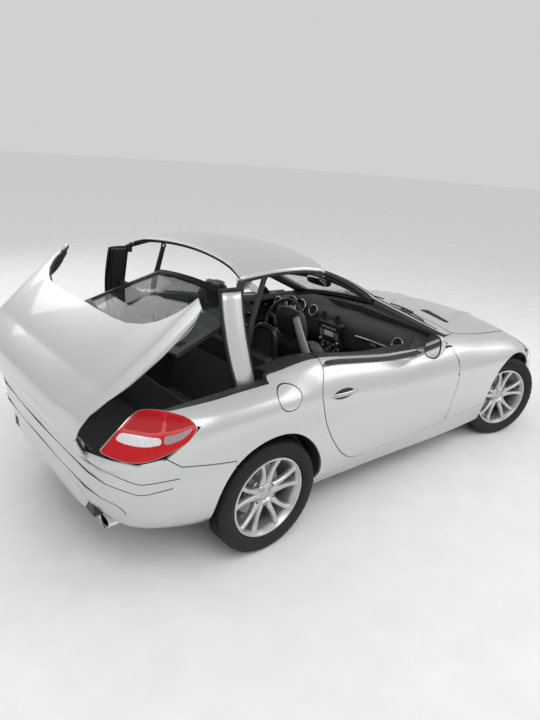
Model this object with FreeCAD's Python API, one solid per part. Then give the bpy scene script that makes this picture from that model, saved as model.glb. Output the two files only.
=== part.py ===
import FreeCAD
import Part
import math
import os

Vector = FreeCAD.Vector

# Two-seat convertible car with a folding metal roof, in millimetres.
# Car coordinates: +X forward, +Y left, +Z up, x = 0 midway between the axles, z = 0 on the ground.
# Everything is moved by frame_shift at the end, so that the frame's origin is under the box's centre.
frame_shift = 55.0

# Driving dimensions
wheelbase = 2430.0
track_front = 1530.0
track_rear = 1541.0
steer_rest = -17.8
steer_axis_y = 700.0
shut_gap = 6.0
# Tail lamp's inner side: y at the tail, y ahead of the x that follows
lamp_inner = (600.0, 690.0, -1880.0)
# The door's inner part is smaller than its skin, so that it swings clear
door_skin_y = 836.0
door_inset = 16.0
seat_clearance = 0.3
body_wall = 110.0
panel_wall = 45.0
bumper_wall = 60.0
bonnet_wall = 35.0
lid_wall = 28.0
cabin_half = 690.0
boot_half = 735.0
# The folded roof's links stand in the boot beside its tub: room from the boot's wall to the tub,
# and the planes of arm and pillar foot, measured inwards from that wall
tub_room = 175.0
arm_room = (95.0, 85.0)
foot_room = (84.7, 59.0)
lid_open = 38.0
roof_open = 41.6
arch_radius = 350.0
arch_height = 330.0
wheelhouse_radius = 385.0
wheelhouse_rear = 343.0
wheelhouse_lip = 835.0
floor_low = 190.0
floor_top = 225.0

front_axle = wheelbase / 2
rear_axle = -wheelbase / 2

# Hinge points of lid, bonnet and roof, (x, z)
lid_hinge = (-2040.0, 700.0)
bonnet_hinge = (512.0, 900.0)
roof_pivot = (-1248.0, 760.0)
panel_pivot = (-1236.0, 1372.0)
arm_top = (-1045.0, 1368.0)
window_pivot = (-1298.0, 1130.0)
window_top = (-1083.0, 1222.0)
window_tilt_rest = 19.0
# Door hinge: x, y of its upright axis, z of the leaf's barrel and of the pillar's ears
door_hinge = (404.0, 878.0)
door_barrel = (640.0, 660.0)
door_ears = (620.0, 680.0)
door_pin = 3.5
barrel_radius = 7.0
# Planes of the lugs that carry the lid and the bonnet, and their pins
lid_lug_planes = (398.0, 412.0)
bonnet_lug_planes = (196.0, 204.0)
lid_pin = 6.0
bonnet_pin = 5.0
lug_radius = 11.0
lug_room = 5.0
# Jacking pads under the sills: x of the front and rear pair, y, radius, depth
jack_x = (440.0, -820.0)
jack_y = 640.0
jack_radius = 28.0
jack_depth = 12.0

arm_pivot = (roof_pivot[0] + arm_top[0] - panel_pivot[0], roof_pivot[1] + arm_top[1] - panel_pivot[1])

# Body sections from tail to nose.
# Columns: x, then (y, z) of sill, low edge, widest line, crease, shoulder, deck edge, then z of the middle.
body_sections = (
    (-2075, (330, 455), (460, 470), (560, 520), (585, 620), (560, 690), (450, 715), 725),
    (-2050, (430, 385), (570, 420), (680, 520), (695, 680), (660, 740), (560, 760), 770),
    (-1960, (500, 300), (680, 365), (775, 530), (768, 770), (690, 890), (620, 915), 935),
    (-1800, (660, 255), (778, 332), (838, 560), (818, 830), (745, 895), (672, 930), 952),
    (-1500, (770, 240), (850, 320), (884, 600), (872, 862), (780, 912), (700, 945), 968),
    (-1215, (785, 240), (860, 330), (887, 620), (881, 863), (785, 925), (700, 960), 980),
    (-925, (786, 215), (865, 330), (888, 640), (885, 829), (790, 978), (700, 990), 1000),
    (-240, (805, 207), (868, 340), (888, 600), (887, 735), (795, 895), (700, 905), 915),
    (400, (830, 200), (870, 340), (882, 560), (878, 688), (800, 850), (740, 893), 938),
    (800, (838, 205), (868, 330), (880, 560), (872, 680), (800, 800), (735, 845), 925),
    (1215, (835, 215), (862, 330), (878, 560), (868, 680), (800, 760), (730, 800), 870),
    (1500, (790, 225), (835, 320), (850, 520), (835, 610), (745, 680), (620, 725), 800),
    (1750, (690, 230), (740, 310), (752, 480), (735, 560), (640, 620), (480, 655), 715),
    (1930, (500, 240), (545, 310), (560, 450), (540, 530), (440, 585), (300, 610), 645),
    (2012, (280, 280), (320, 330), (330, 420), (325, 490), (260, 540), (150, 555), 565),
)
# How much of a wall's thickness each section point moves up, in the same order, and the middle
inset_rise = (1.0, 0.5, 0.0, -0.3, -0.8, -1.0, -1.0)

# Outlines seen from the side, (x, z)
door_outline = (
    (-862, 1100), (-862, 975), (-928, 830), (-885, 689), (-815, 555), (-737, 449), (-646, 379),
    (-560, 352), (220, 339), (306, 341), (352, 380), (402, 600), (414, 756), (350, 862), (350, 1100),
)
bumper_rear_outline = (
    (-2120, 738), (-2012, 730), (-1917, 704), (-1803, 719), (-1740, 668), (-1454, 615),
    (-1454, 200), (-2120, 200),
)
tail_lamp_outline = (
    (-2012, 730), (-1917, 704), (-1803, 719), (-1645, 835), (-1813, 895), (-1835, 915),
)
lid_outline = (
    (-2120, 751), (-2018, 741), (-1838, 921), (-1813, 903), (-1729, 903), (-1406, 922),
    (-1200, 930), (-1200, 1100), (-2120, 1100),
)
side_outline = (
    (-1454, 615), (-1740, 668), (-1803, 719), (-1645, 835), (-1813, 895), (-1729, 895), (-1406, 912),
    (-1206, 920), (-1191, 1010), (340, 1010), (340, 345), (868, 345), (868, 195), (-872, 195),
    (-872, 235), (-1454, 235),
)
fender_outline = (
    (340, 345), (340, 1000), (1480, 1000), (1700, 700), (1700, 560), (1450, 520), (1450, 345),
)
bumper_front_outline = (
    (1450, 345), (1450, 520), (1700, 560), (1700, 640), (2050, 640), (2050, 200), (1450, 200),
)
# Outlines seen from above, (x, y), left half
bonnet_edge = (
    (600, 0), (585, 400), (520, 700), (856, 718), (1240, 700), (1520, 585), (1780, 370), (1880, 0),
)
headlamp_plan = ((1478, 800), (1478, 720), (1545, 612), (1790, 420), (1960, 440), (1860, 800))
cowl_plan = ((358, 0), (358, 700), (514, 700), (579, 400), (594, 0))
bonnet_opening = (
    (594, 0), (579, 400), (513, 706), (856, 724), (1242, 706), (1525, 590), (1786, 375), (1886, 0),
)
# Bonnet: sunk air inlets seen from above, their depth and louvres, and two long ridges (x, y)
inlet_plan = ((684, 545), (743, 254), (833, 277), (756, 536))
inlet_depth = 12.0
louvre_count = 3
louvre_width = 9.0
ridge_line = ((850, 490), (1250, 350), (1660, 205))
ridge_half = 42.0
ridge_height = 9.0
# Filler flap on the right side: x, z, radius. Rub strip round the rear bumper: its edges (x, z)
filler = (-1137.0, 859.0, 68.0)
strip_edges = (
    ((-1745, 607), (-1911, 610), (-2014, 640), (-2062, 688), (-2110, 694)),
    ((-1770, 562), (-1901, 551), (-1996, 577), (-2065, 601), (-2110, 606)),
)
groove_width = 6.0
groove_depth = 5.0
# Boot lid's hollow front edge: x and y of its tip, x of its middle
lid_tip = (-1262.0, 690.0, -1490.0)
# Low and high corners of the door handle and of the openings in the front bumper
handle_blocks = (((-868, 870, 792), (-640, 899, 812)),)
grille_openings = (((1850, -230, 470), (2060, 230, 560)), ((1800, -330, 300), (2060, 330, 420)))
# Mirror housing and its stalk, corners (x, y, z)
mirror_back = ((-75, 890, 905), (-75, 980, 900), (-75, 985, 1010), (-75, 900, 1025))
mirror_front = ((55, 900, 925), (55, 955, 925), (55, 960, 985), (55, 905, 990))
mirror_foot = ((-10, 775, 850), (95, 775, 838), (95, 775, 872), (-10, 775, 884))
mirror_neck = ((-40, 905, 915), (35, 905, 935), (35, 905, 955), (-40, 905, 935))

# Planes across the cabin and the boot
bulkhead_x = -950.0
bulkhead_wall = 20.0
firewall_x = 620.0
tub_half = boot_half - tub_room
tub_wall = 8.0
tub_floor = 340.0
hoop_x = -880.0
seat_y = 380.0

# Exhaust tips
tip_x = -1935.0
tip_y = 490.0
tip_z = 246.0

# Wheels: radii, widths and the flange that bolts to the hub, from the wheel's middle plane
rim_half = 101.0
rim_radius = 223.0
bead_radius = 215.0
tyre_front = (317.0, 112.0)
tyre_rear = (314.0, 118.0)
hub_face = 36.0
disc_radius = 144.0
disc_planes = (-30.0, -8.0)
spindle_radius = 20.0
spoke_pairs = 5
knuckle_planes = (690.0, 712.0)
# Wheel spokes. Columns: radius, half width, back plane, front plane, spread of the pair in degrees
spoke_sections = ((58, 17, 38, 70, 14), (130, 11, 56, 84, 10), (209, 12, 68, 96, 12.5))

# Steering wheel's centre and the column's slope in degrees
steering_centre = (-85.0, 370.0, 770.0)
column_slope = 25.0
steering_radius = 178.0
steering_grip = 15.0
hub_depth = 24.0
pin_radius = 12.0

# Roof pivots: planes of the lugs, measured from the middle of the car
main_arm_planes = (boot_half - arm_room[0], boot_half - arm_room[1])
pillar_foot_planes = (boot_half - foot_room[0], boot_half - foot_room[1])
arm_base_planes = (493.0, 503.0)
front_arm_planes = (503.3, 515.0)
panel_lug_planes = (546.0, 559.2)
bracket_planes = (559.5, 571.7)
pillar_lug_planes = (572.0, 584.0)
window_lug_planes = (570.0, 583.7)
window_disc_planes = (584.0, 596.7)
roof_pin = 8.0
bracket_radius = 14.0

# Folding roof in its closed place. Columns: x, half width, z of the side edge, z of the middle
roof_sections = (
    (-845, 556, 1222, 1262),
    (-640, 583, 1252, 1289),
    (-430, 588, 1252, 1294),
    (-150, 545, 1203, 1262),
)
roof_wall = 28.0
# Ends of the closed roof panel: x at the sides and at the middle
roof_front = (-260.0, -174.0)
roof_back = (-832.0, -772.0)
# Rear pillars as the roof stands. Columns: z, rear x, front x, outer y, thickness
pillar_sections = (
    (790, -1318, -1222, boot_half - 13, 46),
    (905, -1340, -1237, boot_half - 20, 46),
    (1130, -1374, -1266, 660, 45),
    (1350, -1370, -1263, 600, 40),
)
# Rear window down its slope. Columns: distance from the top edge, half width, crown
window_sections = ((0, 478, 36), (260, 512, 48), (620, 548, 44))
window_length = (520.0, 600.0)
window_rim = 42.0
# Windscreen from base to header. Columns: x and z of the corner, half width, x and z of the middle
screen_sections = ((440, 893, 705, 560, 944), (-250, 1196, 600, -158, 1262))
screen_wall = 38.0

shells = {}


def point(x, y, z):
    return Vector(x, y, z)


def side_prism(outline, low, high, grow=0.0):
    wire = Part.makePolygon([point(x, low, z) for x, z in outline + outline[:1]])
    face = Part.Face(wire)
    if grow:
        face = Part.Face(face.makeOffset2D(grow, 2).OuterWire)
    return face.extrude(point(0, high - low, 0))


def plan_prism(outline, low, high):
    wire = Part.makePolygon([point(x, y, low) for x, y in outline + outline[:1]])
    return Part.Face(wire).extrude(point(0, 0, high - low))


def plan_half(outline):
    return tuple(outline) + tuple((x, -y) for x, y in reversed(outline) if y > 0)


def block(low, high):
    size = [high[i] - low[i] for i in range(3)]
    return Part.makeBox(size[0], size[1], size[2], point(*low))


def y_cylinder(radius, x, z, low, high):
    return Part.makeCylinder(radius, high - low, point(x, low, z), point(0, 1, 0))


def z_cylinder(radius, x, y, low, high):
    return Part.makeCylinder(radius, high - low, point(x, y, low), point(0, 0, 1))


def x_cylinder(radius, y, z, low, high):
    return Part.makeCylinder(radius, high - low, point(low, y, z), point(1, 0, 0))


def mirrored(shape):
    return shape.mirror(point(0, 0, 0), point(0, 1, 0))


def both_sides(shape):
    return Part.makeCompound([shape, mirrored(shape)])


def turned(shape, pivot, angle):
    # A positive angle carries the upper end towards the tail
    result = shape.copy()
    result.rotate(point(pivot[0], 0, pivot[1]), point(0, -1, 0), angle)
    return result


def fused(shapes):
    result = shapes[0]
    if len(shapes) > 1:
        result = shapes[0].multiFuse(shapes[1:])
    return result.removeSplitter()


def ruled(wires):
    return Part.makeLoft(wires, True, True)


def arc(first, middle, last):
    return Part.Arc(first, middle, last).toShape()


def arched_wire(x, half, z_edge, z_middle, wall):
    outer = arc(point(x, -half, z_edge), point(x, 0, z_middle), point(x, half, z_edge))
    inner = arc(point(x, half, z_edge - wall), point(x, 0, z_middle - wall), point(x, -half, z_edge - wall))
    right = Part.makeLine(point(x, half, z_edge), point(x, half, z_edge - wall))
    left = Part.makeLine(point(x, -half, z_edge - wall), point(x, -half, z_edge))
    return Part.Wire([outer, right, inner, left])


def body_solid(wall):
    wires = []
    last = len(body_sections) - 1
    for index, row in enumerate(body_sections):
        x = row[0]
        if index == 0:
            x = x + wall
        if index == last:
            x = x - wall
        half = []
        for (y, z), rise in zip(row[1:7], inset_rise):
            half.append((max(y - wall, 20.0), z + rise * wall))
        middle = row[7] + inset_rise[6] * wall
        left = [point(x, y, z) for y, z in half]
        right = [point(x, -y, z) for y, z in reversed(half)]
        wires.append(Part.makePolygon(left + [point(x, 0, middle)] + right + left[:1]))
    return ruled(wires)


def deck_level(x, y):
    # Height of the deck between the deck edge and the middle of the car
    for rear, ahead in zip(body_sections, body_sections[1:]):
        if rear[0] <= x <= ahead[0]:
            share = (x - rear[0]) / (ahead[0] - rear[0])
            edge_y = rear[6][0] + share * (ahead[6][0] - rear[6][0])
            edge_z = rear[6][1] + share * (ahead[6][1] - rear[6][1])
            middle = rear[7] + share * (ahead[7] - rear[7])
            return middle + (edge_z - middle) * y / edge_y


def wheel_arch(x, low):
    return y_cylinder(arch_radius, x, arch_height, low, 1000)


def front_wheelhouse():
    return y_cylinder(wheelhouse_radius, front_axle, tyre_front[0], 440, wheelhouse_lip)


def rear_wheelhouse():
    return y_cylinder(wheelhouse_rear, rear_axle, tyre_rear[0], tub_half - tub_wall, 1000)


def make_regions():
    regions = {}
    regions["door"] = side_prism(door_outline, door_skin_y, 1000).fuse(
        side_prism(door_outline, cabin_half, door_skin_y, -door_inset))
    regions["door_opening"] = side_prism(door_outline, 500, 1000, shut_gap)
    regions["lid"] = side_prism(lid_outline, -1000, 1000)
    regions["bonnet"] = plan_prism(plan_half(bonnet_edge), 540, 1100)
    regions["bonnet_opening"] = plan_prism(plan_half(bonnet_opening), 540, 1100)
    regions["headlamp"] = plan_prism(headlamp_plan, 548, 1100)
    regions["cowl"] = plan_prism(plan_half(cowl_plan), 500, 1100)
    return regions


def make_door(regions):
    leaf = shells[body_wall].common(regions["door"])
    for low, high in handle_blocks:
        leaf = leaf.fuse(block(low, high))
    pillar_room = screen_loft(-0.05, 0.5, -8.0, -8.0, screen_wall + 8.0)
    leaf = leaf.removeSplitter().cut(pillar_room)
    x, y = door_hinge
    ear_low, ear_high = door_ears
    leaf = leaf.cut(z_cylinder(barrel_radius + lug_room, x, y, ear_low - lug_room, ear_high + lug_room))
    leaf = leaf.fuse(z_cylinder(barrel_radius, x, y, door_barrel[0], door_barrel[1]))
    arm = block((x - 30, y - 6, door_barrel[0]), (x, y - 1, door_barrel[1]))
    return leaf.fuse(arm).removeSplitter().cut(z_cylinder(door_pin + seat_clearance, x, y, 0, 1000))


def make_mirror(door):
    back = [point(x, y, z) for x, y, z in mirror_back]
    front = [point(x, y, z) for x, y, z in mirror_front]
    shell = ruled([Part.makePolygon(back + back[:1]), Part.makePolygon(front + front[:1])])
    foot = [point(x, y, z) for x, y, z in mirror_foot]
    neck = [point(x, y, z) for x, y, z in mirror_neck]
    stalk = ruled([Part.makePolygon(foot + foot[:1]), Part.makePolygon(neck + neck[:1])])
    return fused([shell, stalk]).cut(door)


def make_side(regions):
    wall = shells[body_wall].common(side_prism(side_outline, cabin_half, 1000))
    wall = wall.cut(regions["door_opening"])
    wall = wall.cut(block((-2200, 500, 100), (bulkhead_x, boot_half, 1100)))
    wall = wall.cut(wheel_arch(rear_axle, 500))
    return wall.cut(wheel_arch(front_axle, 500)).cut(front_wheelhouse())


def filler_groove():
    x, z, radius = filler
    ring = y_cylinder(radius + groove_width / 4, x, z, -1000, -700)
    ring = ring.cut(y_cylinder(radius - groove_width / 4, x, z, -1000, -700))
    return shells[groove_depth].common(ring)


def make_fender(regions, frame):
    wing = shells[panel_wall].common(side_prism(fender_outline, 0, 1000))
    for region in ("door_opening", "bonnet_opening", "headlamp", "cowl"):
        wing = wing.cut(regions[region])
    wing = wing.cut(block((300, 0, 300), (800, cowl_plan[2][1], 1100)))
    wing = wing.cut(wheel_arch(front_axle, 500)).cut(front_wheelhouse()).cut(frame)
    x, y = door_hinge
    low, high = door_barrel
    wing = wing.cut(z_cylinder(barrel_radius + lug_room, x, y, low - seat_clearance, high + seat_clearance))
    ears = []
    for low, high in (
            (door_ears[0], door_barrel[0] - seat_clearance), (door_barrel[1] + seat_clearance, door_ears[1])):
        ears.append(z_cylinder(barrel_radius, x, y, low, high))
        ears.append(block((x, y - 6, low), (x + 26, y - 1, high)))
    return fused([wing, z_cylinder(door_pin, x, y, door_ears[0], door_ears[1])] + ears)


def make_front_bumper(regions):
    nose = shells[bumper_wall].common(side_prism(bumper_front_outline, -1000, 1000))
    nose = nose.cut(regions["bonnet_opening"])
    nose = nose.cut(regions["headlamp"])
    nose = nose.cut(mirrored(regions["headlamp"]))
    nose = nose.cut(y_cylinder(arch_radius, front_axle, arch_height, -1000, 1000))
    nose = nose.cut(front_wheelhouse()).cut(mirrored(front_wheelhouse()))
    for low, high in grille_openings:
        nose = nose.cut(block(low, high))
    return max(nose.Solids, key=lambda solid: solid.Volume)


def make_grille():
    inner = body_solid(bumper_wall / 2)
    bars = []
    for low, high in grille_openings:
        count = 4
        step = (high[2] - low[2]) / count
        for index in range(count):
            middle = low[2] + (index + 0.5) * step
            bars.append(block((low[0], low[1], middle - 7), (high[0], high[1], middle + 7)))
        bars.append(block((low[0], -12, low[2]), (high[0], 12, high[2])))
    return fused(bars).common(inner).cut(body_solid(bumper_wall))


def make_headlamp(regions):
    return shells[bumper_wall].common(regions["headlamp"]).cut(regions["bonnet_opening"])


def make_rear_bumper(tips):
    tail = shells[bumper_wall].common(side_prism(bumper_rear_outline, -1000, 1000))
    tail = tail.cut(y_cylinder(arch_radius, rear_axle, arch_height, -1000, 1000))
    for edge in strip_edges:
        band = tuple(edge) + tuple((px, pz - groove_width) for px, pz in reversed(edge))
        tail = tail.cut(shells[groove_depth].common(side_prism(band, -1000, 1000)))
    back = body_sections[0][0] + bumper_wall
    tail = tail.cut(block((back, -600, 100), (-1400, 600, 760)))
    x, z = lid_hinge
    low, high = lid_lug_planes
    pocket = block((x - 29, low - lug_room, z - 14), (x + 40, high + lug_room, z + 60))
    notch = block((x - 60, low - lug_room, z + 16), (x, high + lug_room, z + 60))
    room = pocket.fuse(notch)
    pin = y_cylinder(lid_pin, x, z, low - lug_room - 4, high + lug_room + 4)
    # Cheeks under the deck carry the pin on both sides of the lug
    hold = pin
    for near in (low - lug_room - 6, high + lug_room):
        hold = hold.fuse(block((x - 29, near, z - 10), (x + 14, near + 6, z + 28)))
    tail = fused([tail.cut(tips).cut(room).cut(mirrored(room)), hold, mirrored(hold)])
    return max(tail.Solids, key=lambda solid: solid.Volume)


def make_tail_lamp():
    # The lamp's inner side leaves room for the folding pillars
    lamp = shells[bumper_wall].common(side_prism(tail_lamp_outline, lamp_inner[0], 1000))
    return lamp.cut(block((lamp_inner[2], 0, 0), (0, lamp_inner[1], 1100)))


def hinge_lug(hinge, planes, pin, neck_low, neck_high):
    # Ring round a cross pin with a neck to the panel that it carries
    low, high = planes
    ring = y_cylinder(lug_radius, hinge[0], hinge[1], low, high)
    neck = block((neck_low[0], low, neck_low[1]), (neck_high[0], high, neck_high[1]))
    return ring.fuse(neck).cut(y_cylinder(pin + seat_clearance, hinge[0], hinge[1], low - 1, high + 1))


def make_inlet():
    # Sunk panel with louvres that stand across it
    sink = shells[inlet_depth].common(plan_prism(inlet_plan, 700, 1100))
    rear_out, rear_in, front_in, front_out = inlet_plan
    for index in range(louvre_count):
        share = (index + 1) / (louvre_count + 1)
        out_x = rear_out[0] + share * (front_out[0] - rear_out[0])
        in_x = rear_in[0] + share * (front_in[0] - rear_in[0])
        strip = ((out_x, rear_out[1] + 20), (in_x, rear_in[1] - 20),
                 (in_x + louvre_width, rear_in[1] - 20), (out_x + louvre_width, rear_out[1] + 20))
        sink = sink.cut(plan_prism(strip, 700, 1100))
    return sink


def make_ridge():
    wires = []
    for x, y in ridge_line:
        corners = []
        for side, rise in ((-1, -8.0), (0, ridge_height), (1, -8.0)):
            across = y + side * ridge_half
            corners.append(point(x, across, deck_level(x, across) + rise))
        wires.append(Part.makePolygon(corners + corners[:1]))
    return ruled(wires)


def make_bonnet(regions):
    x, z = bonnet_hinge
    lug = hinge_lug(bonnet_hinge, bonnet_lug_planes, bonnet_pin, (x, z - 9), (x + 94, z + 5))
    inlet = make_inlet()
    ridge = make_ridge()
    panel = shells[bonnet_wall].common(regions["bonnet"]).cut(inlet).cut(mirrored(inlet))
    return fused([panel, ridge, mirrored(ridge), lug, mirrored(lug)])


def lid_front():
    # Hollow front edge between two rounded tips
    tip_x, tip_y, middle_x = lid_tip
    edges = [
        arc(point(tip_x, -tip_y, 700), point(middle_x, 0, 700), point(tip_x, tip_y, 700)),
        Part.makeLine(point(tip_x, tip_y, 700), point(tip_x - 40, tip_y + 62, 700)),
        Part.makeLine(point(tip_x - 40, tip_y + 62, 700), point(tip_x - 110, tip_y + 120, 700)),
        Part.makeLine(point(tip_x - 110, tip_y + 120, 700), point(-2200, tip_y + 120, 700)),
        Part.makeLine(point(-2200, tip_y + 120, 700), point(-2200, -tip_y - 120, 700)),
        Part.makeLine(point(-2200, -tip_y - 120, 700), point(tip_x - 110, -tip_y - 120, 700)),
        Part.makeLine(point(tip_x - 110, -tip_y - 120, 700), point(tip_x - 40, -tip_y - 62, 700)),
        Part.makeLine(point(tip_x - 40, -tip_y - 62, 700), point(tip_x, -tip_y, 700)),
    ]
    return Part.Face(Part.Wire(edges)).extrude(point(0, 0, 400))


def make_lid(regions):
    closed = shells[lid_wall].common(regions["lid"]).common(lid_front())
    x, z = lid_hinge
    lug = hinge_lug(lid_hinge, lid_lug_planes, lid_pin, (x - 8, z), (x + 8, z + 68))
    return turned(fused([closed, lug, mirrored(lug)]), lid_hinge, lid_open)


def screen_loft(low, high, side, depth_from, depth_to):
    # A slice of the windscreen between two shares of its height, narrowed at the sides
    base, head = screen_sections
    slope = math.atan2(head[4] - base[4], base[3] - head[3])
    normal = (math.sin(slope), math.cos(slope))
    wires = []
    for share in (low, high):
        corner_x, corner_z, half, middle_x, middle_z = [
            a + share * (b - a) for a, b in zip(base, head)]
        bow = math.hypot(middle_x - corner_x, middle_z - corner_z)
        along = ((middle_x - corner_x) / bow, (middle_z - corner_z) / bow)
        facing = along[0] * normal[0] + along[1] * normal[1]
        narrow = (half - side) / half
        corner_x = middle_x + (corner_x - middle_x) * narrow ** 2
        corner_z = middle_z + (corner_z - middle_z) * narrow ** 2
        half = half - side
        rows = []
        for depth in (depth_from, depth_to):
            back = depth / facing
            rows.append((
                point(corner_x - along[0] * back, -half, corner_z - along[1] * back),
                point(middle_x - along[0] * back, 0, middle_z - along[1] * back),
                point(corner_x - along[0] * back, half, corner_z - along[1] * back),
            ))
        outer, inner = rows
        wires.append(Part.Wire([
            arc(*outer), Part.makeLine(outer[2], inner[2]),
            arc(*reversed(inner)), Part.makeLine(inner[0], outer[0]),
        ]))
    return ruled(wires)


def make_screen():
    full = screen_loft(0.0, 1.0, 0.0, 0.0, screen_wall)
    hole = screen_loft(0.07, 0.945, 52.0, -30.0, screen_wall + 30.0)
    pane = screen_loft(0.07, 0.945, 52.0 + seat_clearance, 12.0, 18.0)
    pane = pane.common(screen_loft(0.0705, 0.9445, 0.0, 0.0, screen_wall))
    header = tuple(x + shut_gap for x in roof_front)
    roof_room = roof_plan(header, tuple(x - 300 for x in header))
    return full, full.cut(hole).cut(roof_room).cut(bonnet_lug_room(16)), pane


def bonnet_lug_room(start):
    # Space that the bonnet's lugs swing through, from a distance ahead of their pins
    x, z = bonnet_hinge
    low, high = bonnet_lug_planes
    room = block((x + start, low - lug_room, z - lug_radius - lug_room),
                 (firewall_x, high + lug_room, z + 90))
    return room.fuse(mirrored(room))


def make_cowl(regions, frame):
    top = shells[panel_wall].common(plan_prism(plan_half(cowl_plan), 700, 1100))
    wall = body_solid(panel_wall).common(
        block((firewall_x, -cabin_half, floor_top), (firewall_x + 15, cabin_half, 1000)))
    shelf = body_solid(panel_wall).common(
        block((cowl_plan[0][0], -cabin_half, 780), (firewall_x + 15, cabin_half, 1000)))
    shelf = shelf.cut(block((300, -cabin_half, 700), (firewall_x, cabin_half, 845)))
    cowl = fused([top, wall, shelf]).cut(frame)
    x, z = bonnet_hinge
    low, high = bonnet_lug_planes
    room = bonnet_lug_room(-lug_radius - lug_room)
    pin = y_cylinder(bonnet_pin, x, z, low - lug_room - 4, high + lug_room + 4)
    cowl = fused([cowl.cut(room), pin, mirrored(pin)])
    return cowl.cut(regions["door_opening"]).cut(mirrored(regions["door_opening"]))


def make_platform():
    pan = block(
        (bulkhead_x + bulkhead_wall, -cabin_half, floor_low), (firewall_x + 15, cabin_half, floor_top))
    pan = pan.cut(rear_wheelhouse()).cut(mirrored(rear_wheelhouse()))
    tunnel = block((bulkhead_x + bulkhead_wall, -120, floor_top), (firewall_x, 120, 400))
    groove = block((bulkhead_x, -95, floor_low - 10), (firewall_x + 50, 95, 370))
    pads = []
    for x in jack_x:
        for y in (-jack_y, jack_y):
            pads.append(z_cylinder(jack_radius, x, y, floor_low - jack_depth, floor_low))
    return fused([pan, tunnel] + pads).cut(groove)


def make_bulkhead():
    wall = block((bulkhead_x, -cabin_half, floor_low), (bulkhead_x + bulkhead_wall, cabin_half, 745))
    wall = wall.cut(rear_wheelhouse()).cut(mirrored(rear_wheelhouse()))
    top = block((bulkhead_x, -455, 740), (bulkhead_x + 110, 455, 880))
    parts = [wall, top]
    for side in (-1, 1):
        hoop = Part.makePolygon([
            point(hoop_x, side * 275, 870), point(hoop_x, side * 275, 985), point(hoop_x, side * 315, 1045),
            point(hoop_x, side * 435, 1045), point(hoop_x, side * 445, 985), point(hoop_x, side * 445, 870)])
        ring = Part.Wire(Part.makeCircle(17, point(hoop_x, side * 275, 870), point(0, 0, 1)))
        parts.append(hoop.makePipeShell([ring], True, False, 1))
    low, high = arm_base_planes
    plate = block(
        (arm_pivot[0] - 40, low - 14, arm_pivot[1] - 60),
        (bulkhead_x, low - seat_clearance, arm_pivot[1] - 10))
    ear = y_cylinder(34, arm_pivot[0], arm_pivot[1], low - 14, low - seat_clearance)
    pin = y_cylinder(pin_radius, arm_pivot[0], arm_pivot[1], low - 5, front_arm_planes[1])
    bracket = plate.fuse(ear).fuse(pin)
    return fused(parts + [bracket, mirrored(bracket)])


def make_tub():
    back = -2075 + bumper_wall
    front = bulkhead_x
    floor = block((back, -tub_half, tub_floor), (front, tub_half, tub_floor + tub_wall))
    rear_wall = block((back, -tub_half, tub_floor), (back + tub_wall, tub_half, 690))
    middle_wall = block((-1350, -tub_half, tub_floor), (-1350 + tub_wall, tub_half, 640))
    parts = [floor, rear_wall, middle_wall]
    for side in (-1, 1):
        inner = side * (tub_half - tub_wall)
        outer = side * tub_half
        parts.append(block((back, min(inner, outer), tub_floor), (front, max(inner, outer), 640)))
    cup = rear_wheelhouse().common(block((-2000, 0, 0), (0, 776, 1000)))
    cup = cup.cut(y_cylinder(wheelhouse_rear - tub_wall, rear_axle, tyre_rear[0], tub_half, 900))
    cup = cup.cut(block((-2000, 0, -100), (0, 1000, tub_floor)))
    low = main_arm_planes[0]
    post = block(
        (roof_pivot[0] - 40, low - 18, 640),
        (roof_pivot[0] + 40, low - seat_clearance, roof_pivot[1]))
    ear = y_cylinder(40, roof_pivot[0], roof_pivot[1], low - 18, low - seat_clearance)
    pin = y_cylinder(pin_radius, roof_pivot[0], roof_pivot[1], low - 5, pillar_foot_planes[1])
    side_set = cup.fuse(post).fuse(ear).fuse(pin)
    return fused(parts + [side_set, mirrored(side_set)])


def roof_plan(front, back):
    # Upright block between two arcs across the car, each given by x at its ends and at its middle
    front_edge = arc(point(front[0], -620, 900), point(front[1], 0, 900), point(front[0], 620, 900))
    back_edge = arc(point(back[0], 620, 900), point(back[1], 0, 900), point(back[0], -620, 900))
    right = Part.makeLine(point(front[0], 620, 900), point(back[0], 620, 900))
    left = Part.makeLine(point(back[0], -620, 900), point(front[0], -620, 900))
    return Part.Face(Part.Wire([front_edge, right, back_edge, left])).extrude(point(0, 0, 600))


def make_roof_panel():
    closed = ruled([arched_wire(*row, roof_wall) for row in roof_sections])
    closed = closed.common(roof_plan(roof_front, roof_back))
    shift = roof_shift(-roof_open)
    panel = closed.translated(point(-shift[0], 0, -shift[1]))
    low, high = panel_lug_planes
    ear = y_cylinder(bracket_radius, panel_pivot[0], panel_pivot[1], low, high)
    web = block(
        (panel_pivot[0] - 6, low, panel_pivot[1]),
        (panel_pivot[0] + 40, high, panel_pivot[1] + 16))
    pin_room = y_cylinder(roof_pin + seat_clearance, panel_pivot[0], panel_pivot[1], 0, 900)
    rear_lug = ear.fuse(web).cut(pin_room)
    low, high = front_arm_planes[1] + 2, front_arm_planes[1] + 12
    ear = y_cylinder(16, arm_top[0], arm_top[1], low, high)
    web = block((arm_top[0] - 14, low, arm_top[1]), (arm_top[0] + 14, high, arm_top[1] + 35))
    pin = y_cylinder(roof_pin, arm_top[0], arm_top[1], front_arm_planes[0], high)
    front_lug = ear.fuse(web).fuse(pin)
    return fused([panel, rear_lug, front_lug, mirrored(rear_lug), mirrored(front_lug)])


def roof_shift(angle):
    # How far the roof panel travels when the rear pillars turn by an angle
    dx = panel_pivot[0] - roof_pivot[0]
    dz = panel_pivot[1] - roof_pivot[1]
    turn = math.radians(angle)
    return (
        dx * math.cos(turn) - dz * math.sin(turn) - dx,
        dx * math.sin(turn) + dz * math.cos(turn) - dz,
    )


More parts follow.
